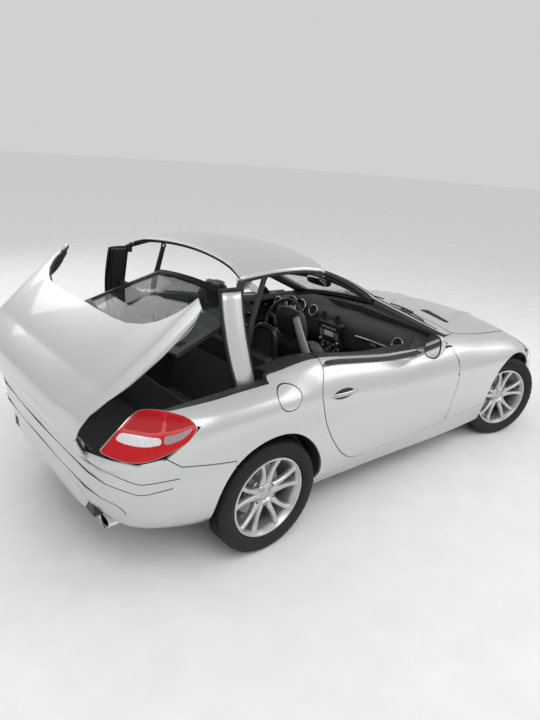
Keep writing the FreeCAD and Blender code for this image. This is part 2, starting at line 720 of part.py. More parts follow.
def make_pillars():
    wires = []
    for z, rear, front, y, wall in pillar_sections:
        inner = y - wall
        corners = [point(rear, y, z), point(front, y, z), point(front, inner, z), point(rear, inner, z)]
        wires.append(Part.makePolygon(corners + corners[:1]))
    band = ruled(wires)
    low, high = pillar_foot_planes
    foot = y_cylinder(42, roof_pivot[0], roof_pivot[1], low, high)
    neck = block((roof_pivot[0] - 42, low, roof_pivot[1]), (roof_pivot[0] + 26, high, 830))
    low, high = pillar_lug_planes
    ear = y_cylinder(bracket_radius, panel_pivot[0], panel_pivot[1], low, high)
    web = block((panel_pivot[0] - 34, low, 1325), (panel_pivot[0] + 4, high, panel_pivot[1]))
    pin = y_cylinder(roof_pin, panel_pivot[0], panel_pivot[1], panel_lug_planes[0], high)
    boss_face = window_disc_planes[1] + seat_clearance
    boss = y_cylinder(24, window_pivot[0], window_pivot[1], boss_face, 620)
    stud = y_cylinder(roof_pin, window_pivot[0], window_pivot[1], window_lug_planes[0], 620)
    pillar = fused([band, foot, neck, ear, web, pin, boss, stud])
    pin_room = y_cylinder(pin_radius + seat_clearance, roof_pivot[0], roof_pivot[1], 600, 690)
    return pillar.cut(pin_room)


def ring_pair(radius, hole, centre, planes):
    ring = y_cylinder(radius, centre[0], centre[1], planes[0], planes[1])
    return both_sides(ring.cut(y_cylinder(hole, centre[0], centre[1], 0, 900)))


def make_front_arms():
    low, high = front_arm_planes
    outline = ((arm_pivot[0] - 16, arm_pivot[1]), (-1142, 1000), (-1128, 1150), (-1098, 1240),
               (arm_top[0] - 14, arm_top[1]), (arm_top[0] + 14, arm_top[1]), (-1066, 1240),
               (-1096, 1140), (-1108, 1000), (arm_pivot[0] + 18, arm_pivot[1]))
    bar = side_prism(outline, low, high)
    foot = y_cylinder(24, arm_pivot[0], arm_pivot[1], low, high)
    head = y_cylinder(16, arm_top[0], arm_top[1], low, high)
    arm = fused([bar, foot, head])
    arm = arm.cut(y_cylinder(pin_radius + seat_clearance, arm_pivot[0], arm_pivot[1], 0, 900))
    arm = arm.cut(y_cylinder(roof_pin + seat_clearance, arm_top[0], arm_top[1], 0, 900))
    return both_sides(arm)


def window_place(shape):
    # Local x runs down the slope and local z is its outer side
    result = shape.copy()
    result.rotate(point(0, 0, 0), point(0, 0, 1), 180)
    result.rotate(point(0, 0, 0), point(0, 1, 0), -window_tilt_rest)
    return result.translated(point(window_top[0], 0, window_top[1]))


def window_plan(margin):
    side, middle = window_length
    half_top = window_sections[0][1] - margin
    half_low = window_sections[2][1] - margin
    corners = (point(margin, -half_top, -200), point(side - margin, -half_low, -200),
               point(middle - margin, 0, -200), point(side - margin, half_low, -200),
               point(margin, half_top, -200))
    edges = [Part.makeLine(corners[0], corners[1]), arc(corners[1], corners[2], corners[3]),
             Part.makeLine(corners[3], corners[4]), Part.makeLine(corners[4], corners[0])]
    return Part.Face(Part.Wire(edges)).extrude(point(0, 0, 400))


def make_window():
    def sheet(top, wall):
        rows = [(x, half, -top, crown - top, wall) for x, half, crown in window_sections]
        return ruled([arched_wire(*row) for row in rows])

    frame = sheet(0.0, 20.0).common(window_plan(0.0)).cut(window_plan(window_rim))
    pane = sheet(5.0, 5.0).common(window_plan(window_rim + seat_clearance))
    frame = window_place(frame)
    low, high = window_lug_planes
    lug = y_cylinder(19, window_pivot[0], window_pivot[1], low, high)
    reach = block(
        (window_pivot[0] - 14, 495, window_pivot[1] + 1),
        (window_pivot[0] + 14, high, window_pivot[1] + 14))
    pin_room = y_cylinder(roof_pin + seat_clearance, window_pivot[0], window_pivot[1], 560, 700)
    lug = lug.fuse(reach).cut(pin_room)
    return fused([frame, lug, mirrored(lug)]), window_place(pane)


def make_rim(disc_low, disc_high):
    profile = (
        (rim_radius, 95), (rim_radius, rim_half), (212, rim_half), (206, 85), (192, 60), (192, -60),
        (206, -85), (212, -rim_half), (rim_radius, -rim_half), (rim_radius, -95), (bead_radius, -93),
        (bead_radius, -80), (200, -60), (200, 60), (bead_radius, 80), (bead_radius, 93),
    )
    wire = Part.makePolygon([point(r, y, 0) for r, y in profile + profile[:1]])
    barrel = Part.Face(wire).revolve(point(0, 0, 0), point(0, 1, 0), 360)
    hub = y_cylinder(68, 0, 0, hub_face, 66)
    hat = y_cylinder(75, 0, 0, disc_high, hub_face)
    disc = y_cylinder(disc_radius, 0, 0, disc_low, disc_high)
    parts = [barrel, hub, hat, disc]
    # Spoke columns: radius, half width, back plane, front plane
    for pair in range(spoke_pairs):
        for lean in (-1, 1):
            angle = math.radians(pair * 360.0 / spoke_pairs + 90)
            wires = []
            for radius, half, back, front, spread in spoke_sections:
                turn = angle + lean * math.radians(spread)
                across = (-math.sin(turn), math.cos(turn))
                along = (math.cos(turn), math.sin(turn))
                corners = []
                for share, y in ((-1, back), (1, back), (1, front), (-1, front)):
                    corners.append(point(
                        along[0] * radius + across[0] * half * share, y,
                        along[1] * radius + across[1] * half * share))
                wires.append(Part.makePolygon(corners + corners[:1]))
            parts.append(ruled(wires))
    wheel = fused(parts)
    return wheel.cut(y_cylinder(spindle_radius + seat_clearance, 0, 0, disc_low - 1, 20))


def make_tyre(size):
    radius, half = size
    bead = bead_radius + seat_clearance
    profile = (
        (bead, -75), (bead, -92.6), (226, -93), (240, -half + 4), (268, -half), (radius - 16, -half + 4),
        (radius, -half + 22), (radius, half - 22), (radius - 16, half - 4), (268, half), (240, half - 4),
        (226, 93), (bead, 92.6), (bead, 75),
    )
    wire = Part.makePolygon([point(r, y, 0) for r, y in profile + profile[:1]])
    return Part.Face(wire).revolve(point(0, 0, 0), point(0, 1, 0), 360)


def steered(shape, side):
    result = shape.copy()
    result.rotate(point(front_axle, side * steer_axis_y, 0), point(0, 0, 1), steer_rest)
    return result


def make_knuckle(axle, centre_z, centre_y, caliper_turn):
    # Left side: hub carrier, spindle, brake caliper round the disc
    low, high = knuckle_planes
    carrier = y_cylinder(52, axle, centre_z, low, centre_y + disc_planes[0] - 3)
    spindle = y_cylinder(spindle_radius, axle, centre_z, low, centre_y + 18)
    caliper = y_cylinder(172, axle, centre_z, centre_y - 46, centre_y + 8)
    caliper = caliper.cut(y_cylinder(98, axle, centre_z, 0, 1000))
    disc_low = centre_y + disc_planes[0] - 6
    disc_high = centre_y + disc_planes[1] + 6
    caliper = caliper.cut(y_cylinder(disc_radius + 6, axle, centre_z, disc_low, disc_high))
    corners = ((axle, centre_z), (axle - 260, centre_z - 105), (axle - 260, centre_z + 105))
    wedge = side_prism(corners, 0, 1000)
    caliper = turned(caliper.common(wedge), (axle, centre_z), caliper_turn)
    lug = block((axle - 118, low, centre_z - 18), (axle, centre_y - 44, centre_z + 18))
    lug = turned(lug, (axle, centre_z), caliper_turn)
    return fused([carrier, spindle, caliper, lug])


def make_front_knuckle():
    knuckle = make_knuckle(front_axle, tyre_front[0], track_front / 2, 0.0)
    low, high = knuckle_planes
    upright = block((front_axle - 28, low, 204), (front_axle + 28, high, 452))
    pins = z_cylinder(pin_radius, front_axle, steer_axis_y, 168, 204).fuse(
        z_cylinder(pin_radius, front_axle, steer_axis_y, 452, 484))
    arm = block((front_axle - 150, low, 236), (front_axle, high, 256))
    return fused([knuckle, upright, pins, arm])


def control_arm(inner_y, low, high, spread):
    outline = (
        (front_axle - spread, inner_y), (front_axle - spread + 46, inner_y), (front_axle, inner_y + 130),
        (front_axle + spread - 46, inner_y), (front_axle + spread, inner_y),
        (front_axle + 24, steer_axis_y), (front_axle - 24, steer_axis_y),
    )
    arm = plan_prism(outline, low, high)
    eye = z_cylinder(26, front_axle, steer_axis_y, low, high)
    return arm.fuse(eye).cut(z_cylinder(pin_radius + seat_clearance, front_axle, steer_axis_y, 0, 900))


def make_front_subframe():
    cross = block((front_axle - 60, -430, 172), (front_axle + 60, 430, 232))
    rails = []
    for side in (-1, 1):
        rails.append(block((firewall_x + 15, side * 400 - 35, 190), (1449, side * 400 + 35, 250)))
    rack = y_cylinder(18, front_axle - 110, 250, -450, 450)
    left = control_arm(300, 174, 194, 150)
    return fused([cross, left, mirrored(left), rack] + rails)


def make_front_structure():
    inner_room = y_cylinder(wheelhouse_radius - 8, front_axle, tyre_front[0], 448, 900)
    cup = front_wheelhouse().cut(inner_room)
    cup = cup.cut(block((0, 0, -200), (2000, 1000, 252)))
    arm = control_arm(444, 458, 478, 90)
    tower = z_cylinder(70, front_axle, 470, 560, 745).cut(y_cylinder(380, front_axle, 317, 300, 900))
    rail = block((firewall_x + 15, 330, 480), (1640, 440, 600))
    side_set = fused([cup, arm, tower, rail])
    panel = block((1625, -440, 300), (1650, 440, 640))
    shell = body_solid(bumper_wall)
    return fused([side_set, mirrored(side_set), panel]).common(shell)


def make_rear_axle():
    knuckle = make_knuckle(rear_axle, tyre_rear[0], track_rear / 2, 0.0)
    arms = []
    for x, z in ((-1330, 215), (-1090, 215), (-1215, 250)):
        arms.append(block((x - 16, 380, z - 12), (x + 16, knuckle_planes[1], z + 12)))
    carrier = block((rear_axle - 150, knuckle_planes[0], 200), (rear_axle + 150, knuckle_planes[1], 265))
    shaft = y_cylinder(15, rear_axle, tyre_rear[0], 80, knuckle_planes[0])
    side_set = fused([knuckle, carrier, shaft] + arms)
    frame = fused([
        block((-1390, -420, 205), (-1350, 420, 265)),
        block((-1080, -420, 205), (-1040, 420, 265)),
        block((-1390, -420, 205), (-1040, -380, 265)),
        block((-1390, 380, 205), (-1040, 420, 265)),
    ])
    final_drive = y_cylinder(80, rear_axle, 245, -110, 110)
    mounts = [block((x, side * 400 - 20, 265), (x + 40, side * 400 + 20, tub_floor))
              for x in (-1390, -1080) for side in (-1, 1)]
    cradle = block((-1390, -60, 205), (-1040, 60, 230))
    return fused([side_set, mirrored(side_set), frame, final_drive, cradle] + mounts)


def oval(centre_y, centre_z, half_wide, half_high, low, high):
    wide = point(low, centre_y + half_wide, centre_z)
    high_point = point(low, centre_y, centre_z + half_high)
    ellipse = Part.Ellipse(wide, high_point, point(low, centre_y, centre_z))
    return Part.Face(Part.Wire(ellipse.toShape())).extrude(point(high - low, 0, 0))


def make_exhaust():
    tips = []
    for side in (-1, 1):
        tip = oval(side * tip_y, tip_z, 52, 30, tip_x, -1840)
        tips.append(tip.cut(oval(side * tip_y, tip_z, 47, 25, tip_x - 1, -1850)))
        tips.append(x_cylinder(25, side * tip_y, tip_z, -1850, -1760))
        ends = sorted((side * 400, side * tip_y))
        tips.append(y_cylinder(25, -1760, tip_z, ends[0], ends[1]))
    box = block((-1860, -410, 200), (-1640, 410, 290))
    hangers = []
    for side in (-1, 1):
        hangers.append(block((-1760, side * 300 - 15, 290), (-1730, side * 300 + 15, tub_floor)))
    pipe = x_cylinder(28, 210, 240, -1640, -1400)
    return fused([box, pipe] + tips + hangers)


def exhaust_clearance():
    left = oval(tip_y, tip_z, 60, 38, -2100, -1700)
    return left.fuse(mirrored(left))


def make_engine():
    block_low = block((700, -190, 278), (1330, 190, 560))
    heads = block((740, -250, 560), (1300, 250, 740))
    cover = block((780, -180, 740), (1260, 180, 775))
    feet = [block((1160, side * 400 - 30, 250), (1220, side * 400 + 30, 300)) for side in (-1, 1)]
    beam = block((1160, -430, 280), (1220, 430, 300))
    return fused([block_low, heads, cover, beam] + feet)


def make_seat():
    cushion_rows = ((-20, 330, 470, 232), (-60, 330, 500, 240), (-300, 330, 480, 245), (-520, 330, 470, 235))
    wires = []
    for x, low, high, half in cushion_rows:
        bolster = high + 25
        corners = [point(x, -half, low), point(x, half, low), point(x, half, bolster),
                   point(x, half - 60, bolster), point(x, half - 90, high), point(x, -half + 90, high),
                   point(x, -half + 60, bolster), point(x, -half, bolster)]
        wires.append(Part.makePolygon(corners + corners[:1]))
    cushion = ruled(wires)
    # Back rest columns: x of its front, z, depth, half width
    back_rows = ((-470, 440, 130, 235), (-530, 620, 135, 245), (-600, 850, 120, 235), (-640, 960, 90, 190),
                 (-655, 1010, 85, 135), (-680, 1090, 80, 130), (-695, 1140, 60, 105))
    wires = []
    for x, z, deep, half in back_rows:
        corners = [point(x, -half, z), point(x, half, z), point(x - deep, half - 15, z - 20),
                   point(x - deep, -half + 15, z - 20)]
        wires.append(Part.makePolygon(corners + corners[:1]))
    back = ruled(wires)
    base = block((-480, -190, floor_top), (-80, 190, 335))
    return fused([cushion, back, base]).translated(point(0, seat_y, 0))


def make_dashboard(fender):
    outline = (
        (firewall_x, 590), (firewall_x, 800), (430, 800), (300, 862), (130, 880), (70, 845), (60, 740),
        (105, 640),
    )
    body = side_prism(outline, -cabin_half + shut_gap, cabin_half - shut_gap)
    hood = y_cylinder(95, 190, 850, seat_y - 170, seat_y + 150).common(block((95, 0, 850), (300, 700, 1000)))
    stack = block((60, -115, 560), (300, 115, 700))
    column_foot = steering_hub()
    slope = math.radians(column_slope)
    column = Part.makeCylinder(28, 200, point(*column_foot), point(math.cos(slope), 0, -math.sin(slope)))
    # The ends stop at the wings where the cabin is wide
    body = body.cut(fender).cut(mirrored(fender))
    return fused([body, hood, stack, column])


def steering_hub():
    x, y, z = steering_centre
    slope = math.radians(column_slope)
    reach = hub_depth + seat_clearance
    return (x + reach * math.cos(slope), y, z - reach * math.sin(slope))


def make_steering_wheel():
    x, y, z = steering_centre
    ring = Part.makeTorus(steering_radius, steering_grip, point(0, 0, 0), point(1, 0, 0))
    hub = x_cylinder(62, 0, 0, -22, hub_depth)
    spokes = [
        block((-8, -175, -16), (8, 175, 16)),
        block((-8, -20, -175), (8, 20, 0)),
    ]
    wheel = fused([ring, hub] + spokes)
    wheel.rotate(point(0, 0, 0), point(0, 1, 0), column_slope)
    return wheel.translated(point(x, y, z))


def make_console():
    outline = (
        (-560, 400), (-560, 600), (-420, 620), (-300, 600), (-280, 520), (20, 560), (60, 560), (60, 400),
    )
    body = side_prism(outline, -112, 112)
    knob = z_cylinder(16, -130, 0, 530, 600).fuse(Part.makeSphere(26, point(-130, 0, 612)))
    return fused([body, knob])


def make_all():
    for wall in (body_wall, panel_wall, bumper_wall, bonnet_wall, lid_wall, inlet_depth, groove_depth):
        shells[wall] = body_solid(0.0).cut(body_solid(wall))
    regions = make_regions()
    frame_block, frame, pane = make_screen()
    window_frame, window_pane = make_window()
    door = make_door(regions)
    side = make_side(regions)
    fender = make_fender(regions, frame_block)
    mirror = make_mirror(door)
    headlamp = make_headlamp(regions)
    lamp = make_tail_lamp()
    seat = make_seat()
    rim = make_rim(disc_planes[0], disc_planes[1])
    knuckle = make_front_knuckle()
    parts = {
        "platform": make_platform(),
        "side_left": side,
        "side_right": mirrored(side).cut(filler_groove()),
        "fender_left": fender,
        "fender_right": mirrored(fender),
        "front_bumper": make_front_bumper(regions),
        "rear_bumper": make_rear_bumper(exhaust_clearance()),
        "grille": make_grille(),
        "headlamps": both_sides(headlamp),
        "tail_lamps": both_sides(lamp),
        "cowl": make_cowl(regions, frame_block),
        "windscreen_frame": frame,
        "windscreen_glass": pane,
        "dashboard": make_dashboard(fender),
        "console": make_console(),
        "seat_left": seat,
        "seat_right": mirrored(seat),
        "bulkhead": make_bulkhead(),
        "boot_tub": make_tub(),
        "exhaust": make_exhaust(),
        "engine": make_engine(),
        "front_subframe": make_front_subframe(),
        "front_structure": make_front_structure(),
        "rear_axle": make_rear_axle(),
        "steering_wheel": make_steering_wheel(),
        "door_left": door,
        "door_right": mirrored(door),
        "mirror_left": mirror,
        "mirror_right": mirrored(mirror),
        "bonnet": make_bonnet(regions),
        "boot_lid": make_lid(regions),
        "roof_panel": make_roof_panel(),
        "rear_pillars": make_pillars_pair(),
        "main_arms": ring_pair(42, pin_radius + seat_clearance, roof_pivot, main_arm_planes),
        "arm_bases": ring_pair(24, pin_radius + seat_clearance, arm_pivot, arm_base_planes),
        "front_arms": make_front_arms(),
        "panel_brackets": ring_pair(bracket_radius, roof_pin + seat_clearance, panel_pivot, bracket_planes),
        "window_pivots": ring_pair(22, roof_pin + seat_clearance, window_pivot, window_disc_planes),
        "rear_window_frame": window_frame,
        "rear_window_glass": window_pane,
        "front_knuckle_left": steered(knuckle, 1),
        "front_knuckle_right": steered(mirrored(knuckle), -1),
    }
    for name, axle, track, size, front in (
            ("front", front_axle, track_front, tyre_front, True),
            ("rear", rear_axle, track_rear, tyre_rear, False)):
        for side_name, sign in (("left", 1), ("right", -1)):
            for piece, shape in (("rim", rim), ("tyre", make_tyre(size))):
                placed = shape if sign > 0 else mirrored(shape)
                placed = placed.translated(point(axle, sign * track / 2, size[0]))
                if front:
                    placed = steered(placed, sign)
                parts[f"{piece}_{name}_{side_name}"] = placed
    return parts


def make_pillars_pair():
    return both_sides(make_pillars())


os.makedirs("parts", exist_ok=True)
for node, shape in make_all().items():
    shape.translated(point(frame_shift, 0, 0)).exportStep(f"parts/{node}.step")
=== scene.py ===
import math
import random
import bpy
import bmesh
from mathutils import Matrix, Vector
from mathutils.geometry import delaunay_2d_cdt


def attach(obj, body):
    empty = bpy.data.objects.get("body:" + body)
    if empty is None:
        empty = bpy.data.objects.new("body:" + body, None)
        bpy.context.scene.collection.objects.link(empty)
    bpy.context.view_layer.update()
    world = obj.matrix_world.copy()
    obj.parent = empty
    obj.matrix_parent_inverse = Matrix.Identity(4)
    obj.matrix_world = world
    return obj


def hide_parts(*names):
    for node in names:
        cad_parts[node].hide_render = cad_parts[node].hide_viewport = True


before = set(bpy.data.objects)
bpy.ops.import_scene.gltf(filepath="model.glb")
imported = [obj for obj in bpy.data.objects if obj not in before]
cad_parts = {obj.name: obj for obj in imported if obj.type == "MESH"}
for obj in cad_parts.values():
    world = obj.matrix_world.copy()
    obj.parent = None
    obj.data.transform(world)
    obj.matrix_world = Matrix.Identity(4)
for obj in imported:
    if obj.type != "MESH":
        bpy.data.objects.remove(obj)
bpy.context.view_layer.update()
random.seed(7)
print("frame loaded:", len(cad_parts), "nodes")

# Car coordinates are millimetres from the middle of the wheelbase on the ground, +X to the nose
carShift = 55.0
sides = ((1, "left"), (-1, "right"))
corners = ("front_left", "front_right", "rear_left", "rear_right")


def place(x, y, z):
    return Vector(((x + carShift) / 1000, y / 1000, z / 1000))


def addObject(name, data):
    thing = bpy.data.objects.new(name, data)
    bpy.context.scene.collection.objects.link(thing)
    return thing


# Camera and light

camera = {"spot": (-2861.1, -2650.2, 1955.9), "yaw": 0.84567, "pitch": -0.35253, "roll": 0.07619, "focal": 554.53,
          "sensor": 36.0, "tall": 720}
lighting = {"world": 0.76, "key": 165.0, "fill": 90.0, "back": 100.0, "floor": (0.80, 0.79, 0.77),
            "haze": (0.635, 0.635, 0.635), "sky": 1.0}


def makeCamera():
    forward = Vector((math.cos(camera["pitch"]) * math.cos(camera["yaw"]),
                      math.cos(camera["pitch"]) * math.sin(camera["yaw"]), math.sin(camera["pitch"])))
    flatRight = forward.cross(Vector((0, 0, 1))).normalized()
    flatUp = flatRight.cross(forward).normalized()
    turn = camera["roll"]
    right = flatRight * math.cos(turn) + flatUp * math.sin(turn)
    up = flatUp * math.cos(turn) - flatRight * math.sin(turn)
    data = bpy.data.cameras.new("photoCamera")
    data.sensor_fit = "AUTO"
    data.sensor_width = camera["sensor"]
    data.lens = camera["focal"] / camera["tall"] * camera["sensor"]
    data.clip_end = 100
    thing = addObject("photoCamera", data)
    matrix = Matrix((right, up, -forward)).transposed().to_4x4()
    matrix.translation = place(*camera["spot"])
    thing.matrix_world = matrix
    bpy.context.scene.camera = thing


def makeLight():
    scene = bpy.context.scene
    scene.view_settings.view_transform = "Standard"
    world = bpy.data.worlds.new("studio")
    scene.world = world
    world.use_nodes = True
    tree = world.node_tree
    tree.nodes["Background"].inputs["Color"].default_value = (0.97, 0.98, 1.0, 1)
    tree.nodes["Background"].inputs["Strength"].default_value = lighting["world"]
    seen = tree.nodes.new("ShaderNodeBackground")
    seen.inputs["Color"].default_value = (*lighting["haze"], 1)
    seen.inputs["Strength"].default_value = lighting["sky"]
    rays = tree.nodes.new("ShaderNodeLightPath")
    either = tree.nodes.new("ShaderNodeMixShader")
    seenBy = rays.outputs["Is Camera Ray"]
    for kind in ("Is Glossy Ray", "Is Transmission Ray"):
        seenBy = mathNode(tree, "MAXIMUM", seenBy, rays.outputs[kind])
    tree.links.new(seenBy, either.inputs["Fac"])
    tree.links.new(tree.nodes["Background"].outputs[0], either.inputs[1])
    tree.links.new(seen.outputs[0], either.inputs[2])
    tree.links.new(either.outputs[0], tree.nodes["World Output"].inputs["Surface"])
    for name, spot in (("key", (-2.5, -4.5, 5.5)), ("fill", (4.5, -3.5, 4.0)), ("back", (-1.0, 5.5, 4.5))):
        lamp = bpy.data.lights.new(name + "Lamp", "AREA")
        lamp.size = 4.0
        lamp.energy = lighting[name]
        thing = addObject(name + "Lamp", lamp)
        thing.location = spot
        thing.rotation_euler = (Vector((0, 0, 0.4)) - Vector(spot)).to_track_quat("-Z", "Y").to_euler()


# Node groups that several finishes share


def newGroup(name, inputs, outputs):
    group = bpy.data.node_groups.new(name, "ShaderNodeTree")
    for label, kind, value in inputs:
        socket = group.interface.new_socket(name=label, in_out="INPUT", socket_type=kind)
        socket.default_value = value
    for label, kind in outputs:
        group.interface.new_socket(name=label, in_out="OUTPUT", socket_type=kind)
    return group


def link(tree, source, target):
    tree.links.new(source, target)


def mathNode(tree, operation, *values):
    # Output of a math node whose inputs are numbers or other sockets
    node = tree.nodes.new("ShaderNodeMath")
    node.operation = operation
    for socket, value in zip(node.inputs, values):
        if isinstance(value, float):
            socket.default_value = value
        else:
            tree.links.new(value, socket)
    return node.outputs[0]


def setInputs(node, look, rows):
    # Values of a look, or else the usual ones, put on a node's inputs
    for label, key, usual in rows:
        node.inputs[label].default_value = look.get(key, usual)


def makeGrainGroup():
    # Fine grain with broad uneven shade, for paint, plastic and hide
    group = newGroup("surfaceGrain", [
        ("Colour", "NodeSocketColor", (0.5, 0.5, 0.5, 1)), ("Scale", "NodeSocketFloat", 400.0),
        ("Shade", "NodeSocketFloat", 0.08), ("Roughness", "NodeSocketFloat", 0.5),
        ("Spread", "NodeSocketFloat", 0.08)],
        [("Colour", "NodeSocketColor"), ("Roughness", "NodeSocketFloat"), ("Height", "NodeSocketFloat")])
    nodes = group.nodes
    source = nodes.new("NodeGroupInput").outputs
    sink = nodes.new("NodeGroupOutput").inputs
    coords = nodes.new("ShaderNodeTexCoord")
    fine = nodes.new("ShaderNodeTexNoise")
    fine.inputs["Detail"].default_value = 3
    broad = nodes.new("ShaderNodeTexNoise")
    broad.inputs["Scale"].default_value = 3.0
    broad.inputs["Detail"].default_value = 4
    link(group, coords.outputs["Object"], fine.inputs["Vector"])
    link(group, coords.outputs["Object"], broad.inputs["Vector"])
    link(group, source["Scale"], fine.inputs["Scale"])
    both = mathNode(group, "ADD", fine.outputs["Fac"], broad.outputs["Fac"])
    centre = mathNode(group, "SUBTRACT", both, 1.0)
    scale = nodes.new("ShaderNodeVectorMath")
    scale.operation = "SCALE"
    link(group, source["Colour"], scale.inputs[0])
    link(group, mathNode(group, "MULTIPLY_ADD", centre, source["Shade"], 1.0), scale.inputs["Scale"])
    link(group, scale.outputs[0], sink["Colour"])
    link(group, mathNode(group, "MULTIPLY_ADD", centre, source["Spread"], source["Roughness"]), sink["Roughness"])
    link(group, fine.outputs["Fac"], sink["Height"])
    return group


def makeDustGroup():
    # Dust that gathers low on the car
    group = newGroup("roadDust", [
        ("Colour", "NodeSocketColor", (0.5, 0.5, 0.5, 1)), ("Dust", "NodeSocketColor", (0.33, 0.29, 0.24, 1)),
        ("Amount", "NodeSocketFloat", 0.25), ("Reach", "NodeSocketFloat", 0.45)],
        [("Colour", "NodeSocketColor"), ("Mask", "NodeSocketFloat")])
    nodes = group.nodes
    source = nodes.new("NodeGroupInput").outputs
    sink = nodes.new("NodeGroupOutput").inputs
    coords = nodes.new("ShaderNodeTexCoord")
    split = nodes.new("ShaderNodeSeparateXYZ")
    link(group, coords.outputs["Object"], split.inputs[0])
    cloud = nodes.new("ShaderNodeTexNoise")
    cloud.inputs["Scale"].default_value = 9.0
    cloud.inputs["Detail"].default_value = 6
    link(group, coords.outputs["Object"], cloud.inputs["Vector"])
    low = nodes.new("ShaderNodeMapRange")
    low.inputs["From Min"].default_value = 0.12
    low.inputs["To Min"].default_value = 1.0
    low.inputs["To Max"].default_value = 0.0
    link(group, split.outputs["Z"], low.inputs["Value"])
    link(group, source["Reach"], low.inputs["From Max"])
    amount = mathNode(group, "MULTIPLY", low.outputs[0], source["Amount"])
    mask = mathNode(group, "MULTIPLY", amount, cloud.outputs["Fac"])
    mask.node.use_clamp = True
    mix = nodes.new("ShaderNodeMix")
    mix.data_type = "RGBA"
    link(group, mask, mix.inputs["Factor"])
    link(group, source["Colour"], mix.inputs["A"])
    link(group, source["Dust"], mix.inputs["B"])
    link(group, mix.outputs["Result"], sink["Colour"])
    link(group, mask, sink["Mask"])
    return group


grainGroup = makeGrainGroup()
dustGroup = makeDustGroup()


def newFinish(name, **look):
    # One Principled shader fed by the grain and dust groups
    finish = bpy.data.materials.new(name)
    finish.use_nodes = True
    tree = finish.node_tree
    shader = tree.nodes["Principled BSDF"]
    grain = tree.nodes.new("ShaderNodeGroup")
    grain.node_tree = grainGroup
    grain.inputs["Colour"].default_value = (*look["colour"], 1)
    setInputs(grain, look, (("Scale", "grain", 400.0), ("Shade", "shade", 0.08), ("Roughness", "rough", 0.5),
                            ("Spread", "spread", 0.08)))
    colour = grain.outputs["Colour"]
    if look.get("dust", 0) > 0:
        dust = tree.nodes.new("ShaderNodeGroup")
        dust.node_tree = dustGroup
        setInputs(dust, look, (("Amount", "dust", 0.0), ("Reach", "dustReach", 0.45)))
        link(tree, colour, dust.inputs["Colour"])
        colour = dust.outputs["Colour"]
    link(tree, colour, shader.inputs["Base Color"])
    link(tree, grain.outputs["Roughness"], shader.inputs["Roughness"])
    shader.inputs["Coat Roughness"].default_value = 0.05
    setInputs(shader, look, (("Metallic", "metal", 0.0), ("Coat Weight", "coat", 0.0),
                             ("Specular IOR Level", "specular", 0.5), ("Sheen Weight", "sheen", 0.0)))
    if look.get("bump", 0) > 0:
        bump = tree.nodes.new("ShaderNodeBump")
        setInputs(bump, look, (("Strength", "bump", 0.0), ("Distance", "bumpDeep", 0.0005)))
        link(tree, grain.outputs["Height"], bump.inputs["Height"])
        link(tree, bump.outputs["Normal"], shader.inputs["Normal"])
    return finish


def newGlass(name, **look):
    # Clear shader with slightly uneven roughness
    finish = bpy.data.materials.new(name)
    finish.use_nodes = True
    tree = finish.node_tree
    shader = tree.nodes["Principled BSDF"]
    shader.inputs["Base Color"].default_value = (*look["colour"], 1)
    setInputs(shader, look, (("Transmission Weight", "clear", 0.9), ("IOR", "ior", 1.45), ("Alpha", "alpha", 1.0),
                             ("Specular IOR Level", "specular", 0.5)))
    cloud = tree.nodes.new("ShaderNodeTexNoise")
    cloud.inputs["Scale"].default_value = 30.0
    haze = tree.nodes.new("ShaderNodeMapRange")
    haze.inputs["To Min"].default_value = 0.02
    haze.inputs["To Max"].default_value = 0.07
    link(tree, cloud.outputs["Fac"], haze.inputs["Value"])
    link(tree, haze.outputs[0], shader.inputs["Roughness"])
    return finish


